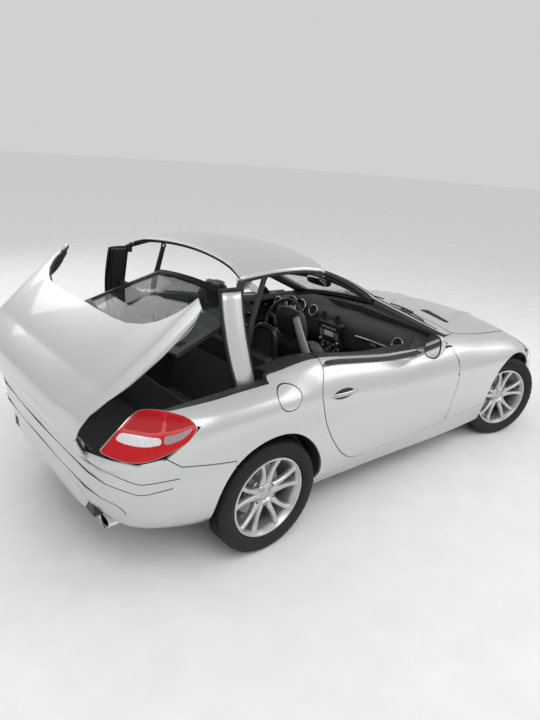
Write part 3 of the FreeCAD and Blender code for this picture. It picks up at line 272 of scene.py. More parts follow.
finishes = {
    "paint": newFinish("silverPaint", colour=(0.60, 0.607, 0.615), metal=0.74, rough=0.31, spread=0.04, shade=0.035,
                       grain=2600.0, coat=0.7, dust=0.35, bump=0.03, bumpDeep=0.0001),
    "blackPaint": newFinish("satinBlack", colour=(0.012, 0.012, 0.013), rough=0.42, grain=300.0),
    "plastic": newFinish("grainedBlack", colour=(0.02, 0.02, 0.021), rough=0.55, grain=900.0, bump=0.35,
                         bumpDeep=0.0004, dust=0.3),
    "dash": newFinish("softAnthracite", colour=(0.026, 0.027, 0.030), rough=0.62, grain=1100.0, bump=0.5,
                      bumpDeep=0.0004),
    "leather": newFinish("blackHide", colour=(0.017, 0.017, 0.018), rough=0.48, grain=500.0, bump=0.45,
                         bumpDeep=0.0006),
    "insert": newFinish("greyHide", colour=(0.30, 0.30, 0.31), rough=0.55, grain=450.0, bump=0.4, bumpDeep=0.0006,
                        shade=0.12),
    "carpet": newFinish("carpet", colour=(0.014, 0.014, 0.015), rough=0.95, grain=1400.0, bump=1.0, bumpDeep=0.002,
                        sheen=0.3, shade=0.5),
    "rubber": newFinish("sealRubber", colour=(0.010, 0.010, 0.010), rough=0.68, grain=500.0, bump=0.2),
    "tyre": newFinish("tyreRubber", colour=(0.006, 0.006, 0.0062), rough=0.66, grain=350.0, bump=0.35, specular=0.3,
                      bumpDeep=0.0006, dust=0.06, dustReach=0.7, shade=0.2),
    "alloy": newFinish("silverAlloy", colour=(0.60, 0.61, 0.62), metal=0.85, rough=0.33, grain=1500.0, coat=0.4,
                       dust=0.35, dustReach=0.7),
    "steel": newFinish("bareSteel", colour=(0.42, 0.42, 0.42), metal=1.0, rough=0.38, grain=700.0, shade=0.2,
                       spread=0.15),
    "cast": newFinish("castIron", colour=(0.11, 0.105, 0.10), metal=0.7, rough=0.62, grain=250.0, bump=0.5,
                      bumpDeep=0.001, dust=0.5),
    "chrome": newFinish("chrome", colour=(0.82, 0.83, 0.85), metal=1.0, rough=0.08, spread=0.03),
    "silverTrim": newFinish("silverTrim", colour=(0.50, 0.51, 0.52), metal=0.9, rough=0.28),
    "redLens": newFinish("redLens", colour=(0.46, 0.004, 0.008), rough=0.22, spread=0.04, coat=0.18, specular=0.25,
                         grain=60.0, shade=0.35),
    "deepRed": newFinish("deepRed", colour=(0.36, 0.003, 0.005), rough=0.38, spread=0.04, coat=0.05, specular=0.12,
                         grain=90.0, shade=0.4),
    "whiteLens": newFinish("whiteLens", colour=(0.72, 0.70, 0.72), metal=0.35, rough=0.16, coat=1.0, grain=60.0,
                           shade=0.2),
    "smokeLens": newFinish("smokeLens", colour=(0.33, 0.27, 0.28), metal=0.4, rough=0.16, coat=1.0, grain=60.0,
                           shade=0.2),
    "mirror": newFinish("mirrorGlass", colour=(0.78, 0.80, 0.82), metal=1.0, rough=0.03, spread=0.01),
    "smokeFace": newFinish("dialFace", colour=(0.016, 0.017, 0.019), rough=0.25, grain=90.0, coat=0.6),
    "screenFace": newFinish("screenFace", colour=(0.74, 0.77, 0.77), rough=0.3, grain=60.0, coat=0.4),
    "keyFace": newFinish("keyFace", colour=(0.24, 0.24, 0.25), rough=0.4, grain=300.0),
    "plate": newFinish("blankPlate", colour=(0.62, 0.63, 0.64), rough=0.35, grain=500.0),
    "glass": newGlass("clearGlass", colour=(0.86, 0.92, 0.90), clear=0.95, alpha=0.35),
    "darkGlass": newGlass("rearGlass", colour=(0.06, 0.08, 0.075), clear=0.8, alpha=0.6, specular=0.12, ior=1.15),
    "lampGlass": newGlass("lampGlass", colour=(0.95, 0.96, 0.97), clear=0.95, alpha=0.45),
}
print("finishes:", len(finishes))

# Body surface

# From tail to nose. Columns: x, then (y, z) of sill, low edge, widest line, crease, shoulder, deck edge, middle z
bodySections = (
    (-2075, (330, 455), (460, 470), (560, 520), (585, 620), (560, 690), (450, 715), 725),
    (-2050, (430, 385), (570, 420), (680, 520), (695, 680), (660, 740), (560, 760), 770),
    (-1960, (500, 300), (680, 365), (775, 530), (768, 770), (690, 890), (620, 915), 935),
    (-1800, (660, 255), (778, 332), (838, 560), (818, 830), (745, 895), (672, 930), 952),
    (-1500, (770, 240), (850, 320), (884, 600), (872, 862), (780, 912), (700, 945), 968),
    (-1215, (785, 240), (860, 330), (887, 620), (881, 863), (785, 925), (700, 960), 980),
    (-925, (786, 215), (865, 330), (888, 640), (885, 829), (790, 978), (700, 990), 1000),
    (-240, (805, 207), (868, 340), (888, 600), (887, 735), (795, 895), (700, 905), 915),
    (400, (830, 200), (870, 340), (882, 560), (878, 688), (800, 850), (740, 893), 938),
    (800, (838, 205), (868, 330), (880, 560), (872, 680), (800, 800), (735, 845), 925),
    (1215, (835, 215), (862, 330), (878, 560), (868, 680), (800, 760), (730, 800), 870),
    (1500, (790, 225), (835, 320), (850, 520), (835, 610), (745, 680), (620, 725), 800),
    (1750, (690, 230), (740, 310), (752, 480), (735, 560), (640, 620), (480, 655), 715),
    (1930, (500, 240), (545, 310), (560, 450), (540, 530), (440, 585), (300, 610), 645),
    (2012, (280, 280), (320, 330), (330, 420), (325, 490), (260, 540), (150, 555), 565),
)
lastSection = len(bodySections) - 1


def columnOf(rowIndex):
    row = bodySections[rowIndex]
    flat = [row[0], 0.0, row[1][1]]
    for y, z in row[1:7]:
        flat += [y, z]
    return flat + [0.0, row[7]]


sectionRows = [columnOf(index) for index in range(lastSection + 1)]


def steadySlopes(values):
    # Slopes for a curve through the values that never overshoots them
    steps = [b - a for a, b in zip(values, values[1:])]
    slopes = [steps[0]]
    for before, after in zip(steps, steps[1:]):
        slopes.append(0.0 if before * after <= 0 else 2 * before * after / (before + after))
    return slopes + [steps[-1]]


columnSlopes = [steadySlopes([row[k] for row in sectionRows]) for k in range(len(sectionRows[0]))]


def hermite(a, b, slopeA, slopeB, share):
    s2 = share * share
    s3 = s2 * share
    return (2 * s3 - 3 * s2 + 1) * a + (s3 - 2 * s2 + share) * slopeA + (3 * s2 - 2 * s3) * b + (s3 - s2) * slopeB


sectionCache = {}


def sectionAt(s):
    # Row of numbers at a fractional section; past the ends the section closes to its middle
    key = round(s, 5)
    if key in sectionCache:
        return sectionCache[key]
    inside = min(max(s, 0.0), lastSection - 1e-9)
    index = int(inside)
    share = inside - index
    row = [hermite(sectionRows[index][k], sectionRows[index + 1][k], columnSlopes[k][index],
                   columnSlopes[k][index + 1], share) for k in range(len(columnSlopes))]
    if s < 0 or s > lastSection:
        past = min(-s if s < 0 else s - lastSection, 1.0)
        midZ = 0.5 * (row[2] + row[-1])
        bulge = (14.0 if s < 0 else 26.0) * (1 - (1 - past) ** 2)
        row = list(row)
        row[0] += -bulge if s < 0 else bulge
        for k in range(1, len(row), 2):
            row[k] *= 1 - past
            row[k + 1] = midZ + (row[k + 1] - midZ) * (1 - past)
    sectionCache[key] = row
    return row


def bodyPoint(s, t):
    # t runs -1 under the middle, 0 sill, 1 low edge, 2 widest, 3 crease, 4 shoulder, 5 deck edge, 6 middle
    row = sectionAt(s)
    pts = [(row[1 + 2 * k], row[2 + 2 * k]) for k in range(8)]
    spot = min(max(t + 1, 0.0), 7 - 1e-9)
    index = int(spot)
    share = spot - index
    p1, p2 = pts[index], pts[index + 1]
    p0 = pts[index - 1] if index > 0 else (-p2[0], p2[1])
    p3 = pts[index + 2] if index + 2 < 8 else (-pts[6][0], pts[6][1])
    out = []
    chord = math.hypot(p2[0] - p1[0], p2[1] - p1[1]) + 1e-6
    before = math.hypot(p1[0] - p0[0], p1[1] - p0[1]) + 1e-6
    after = math.hypot(p3[0] - p2[0], p3[1] - p2[1]) + 1e-6
    for k in (0, 1):
        slopeA = chord * ((p1[k] - p0[k]) / before * chord + (p2[k] - p1[k]) / chord * before) / (before + chord)
        slopeB = chord * ((p2[k] - p1[k]) / chord * after + (p3[k] - p2[k]) / after * chord) / (after + chord)
        if index == 0:
            slopeA = p2[k] - p1[k]
            slopeB = p2[k] - p1[k]
        if index == 1:
            slopeA = p2[k] - p1[k]
        if index == 6 and k == 1:
            slopeA = min(slopeA, 2.2 * max(p2[1] - p1[1], 0.0))
        out.append(hermite(p1[k], p2[k], slopeA, slopeB, share))
    return row[0], max(out[0], 0.0), out[1]


def sectionOfX(x):
    low, high = 0.0, float(lastSection)
    for _ in range(28):
        mid = 0.5 * (low + high)
        if sectionAt(mid)[0] < x:
            low = mid
        else:
            high = mid
    return 0.5 * (low + high)


def levelOf(s, value, axis, low, high):
    # The t at which the surface has a height (axis 2) or, coming inwards, a distance from the middle (axis 1)
    for _ in range(24):
        mid = 0.5 * (low + high)
        here = bodyPoint(s, mid)[axis]
        if (here < value) == (axis == 2):
            low = mid
        else:
            high = mid
    return 0.5 * (low + high)


def surfaceMark(mark, topLevel):
    # ("z", x, z) and ("y", x, y) lie on the surface, ("t", x, t) and ("s", s, t) are given directly
    kind, a, b = mark
    if kind == "s":
        return a, b
    s = sectionOfX(a)
    if kind == "t":
        return s, b
    if kind == "z":
        return s, min(levelOf(s, b, 2, 0.0, 6.0), topLevel)
    return s, levelOf(s, b, 1, 2.0, 6.0)


def denseMarks(marks, step):
    result = []
    count = len(marks)
    for index in range(count):
        a, b = marks[index], marks[(index + 1) % count]
        if a[0] != b[0]:
            result.append(a)
            continue
        if a[0] in "zy":
            pieces = max(1, int(math.hypot(b[1] - a[1], b[2] - a[2]) / step))
        else:
            pieces = max(1, int(max(abs(b[1] - a[1]) / (0.12 if a[0] == "s" else step), abs(b[2] - a[2]) / 0.15)))
        for part in range(pieces):
            share = part / pieces
            result.append((a[0], a[1] + (b[1] - a[1]) * share, a[2] + (b[2] - a[2]) * share))
    return result


def insidePolygon(x, y, loop):
    inside = False
    for (x1, y1), (x2, y2) in zip(loop, loop[1:] + loop[:1]):
        if (y1 > y) != (y2 > y) and x < (x2 - x1) * (y - y1) / (y2 - y1) + x1:
            inside = not inside
    return inside


def edgeDistance(x, y, loop):
    best = 1e9
    for (x1, y1), (x2, y2) in zip(loop, loop[1:] + loop[:1]):
        dx, dy = x2 - x1, y2 - y1
        length = dx * dx + dy * dy
        share = 0 if length == 0 else min(max(((x - x1) * dx + (y - y1) * dy) / length, 0), 1)
        best = min(best, math.hypot(x - x1 - share * dx, y - y1 - share * dy))
    return best


def fillRegion(loops, stepU, stepV):
    # Even triangles inside the first loop and outside the others, in units where both steps are 1
    scaled = [[(u / stepU, v / stepV) for u, v in loop] for loop in loops]
    points, edges = [], []
    for loop in scaled:
        start = len(points)
        points += loop
        edges += [(start + k, start + (k + 1) % len(loop)) for k in range(len(loop))]
    outer = scaled[0]
    lowU, highU = min(p[0] for p in outer), max(p[0] for p in outer)
    lowV, highV = min(p[1] for p in outer), max(p[1] for p in outer)
    for u in range(int(math.floor(lowU)), int(math.ceil(highU)) + 1):
        for v in range(int(math.floor(lowV)), int(math.ceil(highV)) + 1):
            if insidePolygon(u, v, outer) and not any(insidePolygon(u, v, hole) for hole in scaled[1:]):
                if all(edgeDistance(u, v, loop) > 0.4 for loop in scaled):
                    points.append((u, v))
    result = delaunay_2d_cdt([Vector(p) for p in points], edges, [], 0, 1e-6)
    verts, faces = result[0], result[2]
    kept = []
    for face in faces:
        u = sum(verts[k][0] for k in face) / len(face)
        v = sum(verts[k][1] for k in face) / len(face)
        if insidePolygon(u, v, outer) and not any(insidePolygon(u, v, hole) for hole in scaled[1:]):
            kept.append(list(face))
    return [(p[0] * stepU, p[1] * stepV) for p in verts], kept


def smoothFaces(mesh):
    mesh.polygons.foreach_set("use_smooth", [True] * len(mesh.polygons))


def meshPiece(name, verts, faces, finish):
    mesh = bpy.data.meshes.new(name)
    mesh.from_pydata([tuple(v) for v in verts], [], faces)
    work = bmesh.new()
    work.from_mesh(mesh)
    bmesh.ops.remove_doubles(work, verts=work.verts, dist=1e-6)
    loose = [v for v in work.verts if not v.link_faces]
    bmesh.ops.delete(work, geom=loose, context="VERTS")
    bmesh.ops.recalc_face_normals(work, faces=work.faces)
    work.to_mesh(mesh)
    work.free()
    smoothFaces(mesh)
    mesh.materials.append(finishes[finish])
    return addObject(name, mesh)


def rollEdges(piece, width, segments=2, angle=40):
    roll = piece.modifiers.new("rolledEdge", "BEVEL")
    roll.width = width
    roll.segments = segments
    roll.limit_method = "ANGLE"
    roll.angle_limit = math.radians(angle)
    roll.harden_normals = True


def roundOff(piece):
    rounder = piece.modifiers.new("smoothing", "SUBSURF")
    rounder.levels = 1
    rounder.render_levels = 1


def addShell(piece, depth, edge=0.0016, proud=0.0):
    # Thickness under the outer skin, with a rolled edge; proud lifts the skin off what is under it
    thick = piece.modifiers.new("thickness", "SOLIDIFY")
    thick.thickness = depth + proud
    thick.offset = 2 * proud / (depth + proud) - 1
    thick.use_quality_normals = True
    if edge:
        rollEdges(piece, edge, angle=50)


def faceOutwards(piece, outwards):
    # Turn all faces if the mean normal looks the wrong way
    total = 0.0
    for polygon in piece.data.polygons:
        total += polygon.normal.dot(outwards(polygon.center)) * polygon.area
    if total < 0:
        piece.data.flip_normals()


def ridePiece(piece, body, nodes=()):
    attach(piece, body)
    if nodes:
        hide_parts(*nodes)
    return piece


def skinPiece(name, marks, finish, side, holes=(), topLevel=5.05, stepS=0.1, stepT=0.125, depth=0.010, change=None,
              body="body", nodes=(), proud=0.003):
    # Panel on the body surface. side is -1, 1, or 0 for both halves joined at the middle
    loops = []
    for loop in [marks] + list(holes):
        flat = [surfaceMark(mark, topLevel) for mark in denseMarks(loop, 22.0)]
        loops.append(flat)
    grid, faces = fillRegion(loops, stepS, stepT)
    verts = []
    for s, t in grid:
        x, y, z = bodyPoint(s, t)
        if side == 0 and y < 3:
            y = 0.0
        if change:
            x, y, z = change(x, y, z, s, t)
        verts.append((x, y, z))
    points = []
    allFaces = []
    for sign in ((1, -1) if side == 0 else (side,)):
        start = len(points)
        points += [place(x, sign * y, z) for x, y, z in verts]
        allFaces += [[start + k for k in face] for face in faces]
    piece = meshPiece(name, points, allFaces, finish)
    if side == 0:
        work = bmesh.new()
        work.from_mesh(piece.data)
        middle = [v for v in work.verts if abs(v.co.y) < 2e-4]
        bmesh.ops.remove_doubles(work, verts=middle, dist=1e-3)
        bmesh.ops.recalc_face_normals(work, faces=work.faces)
        work.to_mesh(piece.data)
        work.free()
    faceOutwards(piece, lambda c: Vector((c.x * 0.25, c.y, c.z - 0.45)))
    addShell(piece, depth, proud=proud)
    return ridePiece(piece, body, nodes)


def grown(points, amount):
    # Closed line moved outwards by an amount
    area = sum(a[0] * b[1] - b[0] * a[1] for a, b in zip(points, points[1:] + points[:1]))
    sign = 1 if area > 0 else -1
    result = []
    count = len(points)
    for index in range(count):
        a, b, c = points[index - 1], points[index], points[(index + 1) % count]
        n1 = Vector((b[1] - a[1], a[0] - b[0])).normalized() * sign
        n2 = Vector((c[1] - b[1], b[0] - c[0])).normalized() * sign
        middle = n1 + n2
        middle = middle / max(middle.dot(n1), 0.35) if middle.length > 1e-6 else n1
        result.append((b[0] + middle[0] * amount, b[1] + middle[1] * amount))
    return result


def zMarks(points):
    return [("z", x, z) for x, z in points]


def yMarks(points):
    return [("y", x, y) for x, y in points]


def sidePoint(x, z):
    # Point of the body surface at a height
    s = sectionOfX(x)
    return bodyPoint(s, levelOf(s, z, 2, 0.0, 6.0))


def onSide(points, side):
    return [(x, side * y, z) for x, y, z in points]


def circle(count):
    # Cosine and sine at even steps of a full turn
    return [(math.cos(2 * math.pi * n / count), math.sin(2 * math.pi * n / count)) for n in range(count)]


def straight(start, end, count):
    # Even points from one spot to another
    return [tuple(a + (b - a) * k / (count - 1) for a, b in zip(start, end)) for k in range(count)]


def signedPower(value, exponent):
    return math.copysign(abs(value) ** exponent, value)


print("shape helpers")


def loftPiece(name, rows, finish, body, closed=True, caps=True, edge=0.0, depth=0.0, crease=40, nodes=(), where=None):
    # Skin through rows of points; closed rows are rings
    count = len(rows[0])
    spots = [where(*p) if where else p for row in rows for p in row]
    faces = []
    for r in range(len(rows) - 1):
        for c in range(count if closed else count - 1):
            a, b = r * count + c, r * count + (c + 1) % count
            faces.append([a, b, b + count, a + count])
    if closed and caps:
        faces.append(list(range(count)))
        faces.append([(len(rows) - 1) * count + c for c in range(count)])
    piece = meshPiece(name, [place(*p) for p in spots], faces, finish)
    piece.data.set_sharp_from_angle(angle=math.radians(crease))
    if depth:
        addShell(piece, depth / 1000, 0)
    if edge:
        rollEdges(piece, edge / 1000)
    return ridePiece(piece, body, nodes)


def sheetPiece(name, loops, where, finish, body, step=(25.0, 25.0), depth=6.0, edge=1.2, outwards=None, nodes=()):
    # Sheet over flat loops (u, v), bent into place by where(u, v)
    dense = []
    for loop in loops:
        line = []
        for a, b in zip(loop, loop[1:] + loop[:1]):
            cuts = max(1, int(max(abs(b[0] - a[0]) / step[0], abs(b[1] - a[1]) / step[1])))
            line += [(a[0] + (b[0] - a[0]) * k / cuts, a[1] + (b[1] - a[1]) * k / cuts) for k in range(cuts)]
        dense.append(line)
    grid, faces = fillRegion(dense, step[0], step[1])
    piece = meshPiece(name, [place(*where(u, v)) for u, v in grid], faces, finish)
    if outwards:
        faceOutwards(piece, lambda c: Vector(outwards))
    if depth:
        addShell(piece, depth / 1000, edge / 1000)
    return ridePiece(piece, body, nodes)


def boxPiece(name, low, high, finish, body, edge=5.0, taper=1.0, where=None, nodes=(), segments=3):
    # Block with rolled edges; taper narrows its top
    rows = []
    mid = [(a + b) / 2 for a, b in zip(low, high)]
    half = [(b - a) / 2 for a, b in zip(low, high)]
    for z, k in ((low[2], 1.0), (high[2], taper)):
        rows.append([(mid[0] + sx * half[0] * k, mid[1] + sy * half[1] * k, z)
                     for sx, sy in ((-1, -1), (1, -1), (1, 1), (-1, 1))])
    piece = loftPiece(name, rows, finish, body, where=where, nodes=nodes, crease=30)
    rollEdges(piece, edge / 1000, segments)
    return piece


def turnedPlace(centre, axis, angle):
    # Puts local offsets at a centre, turned about an axis through it
    turn = Matrix.Rotation(math.radians(angle), 3, axis)

    def where(x, y, z):
        spot = turn @ Vector((x, y, z))
        return centre[0] + spot.x, centre[1] + spot.y, centre[2] + spot.z

    return where


def revolvePiece(name, profile, where, finish, body, steps=64, crease=35, nodes=(), dents=None):
    # Profile of (radius, along) turned about the local Y axis
    rows = []
    for k, (c, q) in enumerate(circle(steps)):
        row = []
        for j, (radius, along) in enumerate(profile):
            r = radius - (dents(k, j) if dents else 0)
            row.append(where(r * c, along, r * q))
        rows.append(row)
    rows.append(rows[0])
    return loftPiece(name, rows, finish, body, closed=False, crease=crease, nodes=nodes)


def tubePiece(name, points, radius, finish, body, cyclic=False, nodes=()):
    # Smooth round bar through points
    data = bpy.data.curves.new(name, "CURVE")
    data.dimensions = "3D"
    spline = data.splines.new("NURBS")
    spline.points.add(len(points) - 1)
    for spot, point in zip(spline.points, points):
        spot.co = (*place(*point), 1)
    spline.use_cyclic_u = cyclic
    spline.order_u = 3
    spline.use_endpoint_u = not cyclic
    spline.resolution_u = 6
    data.bevel_depth = radius / 1000
    data.bevel_resolution = 2
    data.use_fill_caps = not cyclic
    data.materials.append(finishes[finish])
    return ridePiece(addObject(name, data), body, nodes)


def spread(points, count):
    # Even points along a line
    lengths = [0.0]
    for a, b in zip(points, points[1:]):
        lengths.append(lengths[-1] + math.dist(a, b))
    result = []
    for k in range(count):
        target = lengths[-1] * k / (count - 1)
        index = max(i for i in range(len(lengths) - 1) if lengths[i] <= target + 1e-9)
        share = (target - lengths[index]) / max(lengths[index + 1] - lengths[index], 1e-9)
        result.append(tuple(a + (b - a) * share for a, b in zip(points[index], points[index + 1])))
    return result


def blendTable(table, value):
    # Straight lines between the rows (value, result) of a table
    if value <= table[0][0]:
        return table[0][1]
    for (a, p), (b, q) in zip(table, table[1:]):
        if value <= b:
            return p + (q - p) * (value - a) / (b - a)
    return table[-1][1]


def ease(value):
    value = min(max(value, 0.0), 1.0)
    return value * value * (3 - 2 * value)


makeCamera()
makeLight()

# Panels. Lines are (x, z) seen from the side or (x, y) seen from above, as they lie on the left half

doorLine = [(-862, 1100), (-862, 975), (-928, 830), (-885, 689), (-815, 555), (-737, 449), (-646, 379),
            (-560, 352), (220, 339), (306, 341), (352, 380), (402, 600), (414, 756), (350, 862), (350, 1100)]
shut = {"gap": 4.5, "round": 60}
arch = {"x": 1215, "z": 330, "radius": 350}


def archLine(axle, start, end):
    # Arch of the front (1) or rear (-1) axle from one angle to another, in degrees from the nose side
    steps = 22
    line = []
    for k in range(steps + 1):
        angle = math.radians(start + (end - start) * k / steps)
        line.append(("z", axle * arch["x"] + arch["radius"] * math.cos(angle),
                     arch["z"] + arch["radius"] * math.sin(angle)))
    return line


def roundCorners(points, reach):
    # Cuts each corner of a closed line with a short arc
    result = []
    count = len(points)
    for index in range(count):
        a, b, c = (Vector(points[index - 1]), Vector(points[index]), Vector(points[(index + 1) % count]))
        back, ahead = a - b, c - b
        if back.length < 1e-6 or ahead.length < 1e-6:
            continue
        cut = min(reach, back.length * 0.45, ahead.length * 0.45)
        p, q = b + back.normalized() * cut, b + ahead.normalized() * cut
        for k in range(5):
            w = k / 4
            result.append(tuple(p * (1 - w) ** 2 + b * 2 * w * (1 - w) + q * w * w))
    return result


doorSkinLine = roundCorners(doorLine, shut["round"])
doorGapLine = grown(doorSkinLine, shut["gap"])


print("panels: sides")
sideLoop = zMarks([(-1454, 618), (-1600, 645), (-1740, 670), (-1803, 721), (-1722, 778), (-1647, 836),
                   (-1735, 866), (-1813, 893), (-1729, 894), (-1560, 903), (-1406, 911), (-1300, 915), (-1212, 919)])
sideLoop += [("t", -1206, 4.2), ("t", -1196, 4.4), ("t", -1175, 4.44), ("t", -1090, 4.3), ("t", -1000, 4.22),
             ("t", -900, 4.22), ("t", -500, 4.26), ("t", 336, 4.30)]
sideLoop += zMarks([(344, 345), (600, 345), (862, 345)])
sideLoop += [("t", 868, 0.5), ("t", 874, -0.25), ("t", 0, -0.25), ("t", -870, -0.25), ("t", -876, 0.4)]
sideLoop += archLine(-1, 2.0, 133.0)


filler = {"x": -1141.0, "z": 858.0, "wide": 76.0, "tall": 58.0, "gap": 4.4}


def fillerRing(grow):
    return [("z", filler["x"] + (filler["wide"] + grow) * math.cos(math.radians(a)),
             filler["z"] + (filler["tall"] + grow) * math.sin(math.radians(a))) for a in range(0, 360, 12)]


for sideSign, sideName in sides:
    holes = [zMarks(doorGapLine)] + ([fillerRing(filler["gap"] / 2)] if sideSign < 0 else [])
    skinPiece("sidePanel" + sideName, sideLoop, "paint", sideSign, holes=holes, depth=0.012)

print("panels: doors")
for sideSign, sideName in sides:
    skinPiece("doorSkin" + sideName, zMarks(doorSkinLine), "paint", sideSign, body="door_" + sideName, depth=0.014,
              topLevel=4.25, nodes=("door_" + sideName,))

print("panels: wings and bumpers")
wingLoop = zMarks([(352, 348), (600, 348), (858, 348)])
wingLoop += archLine(1, 3.0, 177.0)[::-1]
wingLoop += zMarks([(1452, 523), (1468, 526)])
wingLoop += yMarks([(1474, 800), (1474, 722), (1528, 628)])
wingLoop += yMarks([(1516, 598), (1242, 705), (1050, 718), (856, 723), (690, 715), (516, 705)])
wingLoop += [("t", 362, 5.0)]
wingLoop += zMarks([(356, 862), (420, 757), (408, 600), (358, 382)])
for sideSign, sideName in sides:
    skinPiece("wing" + sideName, wingLoop, "paint", sideSign, depth=0.010)

bonnetHalf = yMarks([(600, 0.5), (596, 200), (585, 400), (555, 550), (522, 698), (700, 711), (856, 718), (1050, 713),
                     (1240, 700), (1400, 640), (1520, 585), (1660, 480), (1780, 370), (1850, 200), (1878, 0.5)])
inletPlan = roundCorners([(684, 545), (743, 254), (833, 277), (756, 536)], 34)
ridgeLook = {"line": ((850, 490), (1250, 350), (1660, 205)), "half": 48.0, "rise": 15.0}


def bonnetChange(x, y, z, s, t):
    # Two long ridges that run together towards the nose, with a raised middle between them
    line = ridgeLook["line"]
    middle = line[0][1] + (line[-1][1] - line[0][1]) * (x - line[0][0]) / (line[-1][0] - line[0][0])
    away = abs(y - middle) / ridgeLook["half"]
    along = ease((x - 790) / 120) * ease((1740 - x) / 160)
    return x, y, z + along * (ridgeLook["rise"] * ease(1 - away) + (5 * ease((middle - y) / 60) if y < middle else 0))


skinPiece("bonnetSkin", bonnetHalf, "paint", 0, body="bonnet", topLevel=6, stepT=0.05, change=bonnetChange,
          holes=[yMarks(inletPlan)], proud=0.006)
for sideSign, sideName in sides:
    skinPiece("inletFloor" + sideName, yMarks(grown(inletPlan, 3)), "blackPaint", sideSign, body="bonnet", topLevel=6,
              depth=0.003, stepS=0.05, stepT=0.05, proud=0.0, change=lambda x, y, z, s, t: (x, y, z - 9))
    for bar in range(4):
        share = (bar + 0.6) / 4.2
        ends = [(684 + (756 - 684) * share + 4, 541), (743 + (833 - 743) * share, 262)]
        spots = []
        for bx, by in straight(*ends, 7):
            s = sectionOfX(bx)
            spots.append((bx, by, bodyPoint(s, levelOf(s, by, 1, 2.0, 6.0))[2] - 2))
        tubePiece(f"inletBar{sideName}{bar}", onSide(spots, sideSign), 5.5, "plastic", "bonnet")
    skinPiece("cowlCorner" + sideName, yMarks([(500, 708), (515, 700), (549, 550), (578, 402), (585, 330), (536, 330),
                                               (519, 420), (484, 560), (442, 690), (436, 708)]), "paint", sideSign,
              topLevel=6, stepS=0.05, stepT=0.05, depth=0.006)

lampPlan = yMarks([(1480, 798), (1480, 724), (1545, 614), (1660, 520), (1788, 424), (1900, 432), (1880, 560),
                   (1760, 700), (1640, 770), (1540, 802)])
for sideSign, sideName in sides:
    skinPiece("headlampBowl" + sideName, lampPlan, "silverTrim", sideSign, depth=0.001, proud=0.001,
              nodes=("headlamps",) if sideSign > 0 else ())
    for lampName, cx, cy, radius in (("Outer", 1690, 640, 54), ("Inner", 1800, 520, 42)):
        for ringName, finish, share, lift in (("Ring", "blackPaint", 1.0, 0.0018), ("Eye", "chrome", 0.72, 0.0026)):
            edge = [(cx + radius * share * math.cos(math.radians(a)), cy + radius * share * math.sin(math.radians(a)))
                    for a in range(0, 360, 20)]
            skinPiece("lamp" + lampName + ringName + sideName, yMarks(edge), finish, sideSign, depth=0.001,
                      proud=lift, stepS=0.05, stepT=0.06)
    skinPiece("headlampLens" + sideName, lampPlan, "lampGlass", sideSign, depth=0.003, proud=0.006)

noseTop = yMarks([(1884, 0.5), (1856, 200), (1786, 376)])
noseTop += yMarks([(1795, 420), (1903, 427), (1886, 562), (1764, 704), (1643, 774), (1542, 806)])
noseTop += zMarks([(1476, 524), (1452, 520)])
inlets = {"upper": [(120, 471), (200, 476), (235, 505), (222, 540), (150, 556)],
          "lower": [(180, 302), (300, 310), (325, 345), (300, 385), (200, 402)]}


def noseMark(y, z):
    # Mark on the nose at a half width and a height
    low, high = 12.5, 14.99
    for _ in range(40):
        s = (low + high) / 2
        inside = bodyPoint(s, 6.0)[2] > z > bodyPoint(s, 0.0)[2]
        if inside and bodyPoint(s, levelOf(s, z, 2, 0.0, 6.0))[1] > y:
            low = s
        else:
            high = s
    return ("s", low, levelOf(low, z, 2, 0.0, 6.0))


noseLoop = noseTop + archLine(1, 33.0, 3.0)
noseLoop += [("t", 1560, -0.1), ("t", 1700, -0.25), ("t", 1900, -0.4), ("s", 13.7, -1.0), ("s", 14.15, -1.0)]
noseLoop += [noseMark(y, z) for y, z in inlets["lower"]]
noseLoop += [("s", 14.9, -1.0), ("s", 14.995, -1.0), ("s", 14.995, 6.0), ("s", 14.66, 6.0)]
noseLoop += [noseMark(y, z) for y, z in inlets["upper"]] + [("s", 14.05, 6.0), ("s", 13.2, 6.0)]
skinPiece("noseSkin", noseLoop, "paint", 0, topLevel=6, stepT=0.12)
for barName, height, reach in (("Upper", 512, 222), ("Low", 352, 312)):
    tubePiece("grilleBar" + barName, [(2012 - 62 * (y / 230) ** 2, y, height) for y in range(-reach, reach + 1, 37)], 6,
              "silverTrim", "body")

tailTop = zMarks([(-1454, 613), (-1600, 640), (-1740, 665), (-1803, 716), (-1917, 701), (-1990, 722), (-2012, 728),
                  (-2045, 733)])
tailLoop = tailTop + [("s", 0.25, 4.2), ("s", 0.0, 5.0), ("s", 0.0, 6.0), ("s", -0.995, 6.0), ("s", -0.995, -1.0),
                      ("s", 0.0, -1.0), ("s", 0.4, -0.8), ("t", -1960, -0.35), ("t", -1700, -0.25), ("t", -1560, -0.1)]
tailLoop += archLine(-1, 190.0, 134.0)
tuck = {"depth": 36.0, "start": -1880.0, "end": -2040.0, "low": 640.0, "high": 705.0}


def tailChange(x, y, z, s, t):
    # Under the shut line the bumper stands a little further in than the solid
    below = max(ease((tuck["high"] - z) / (tuck["high"] - tuck["low"])), ease((600 - abs(y)) / 100))
    share = ease((tuck["start"] - x) / (tuck["start"] - tuck["end"])) * below
    return x + tuck["depth"] * share, y, z


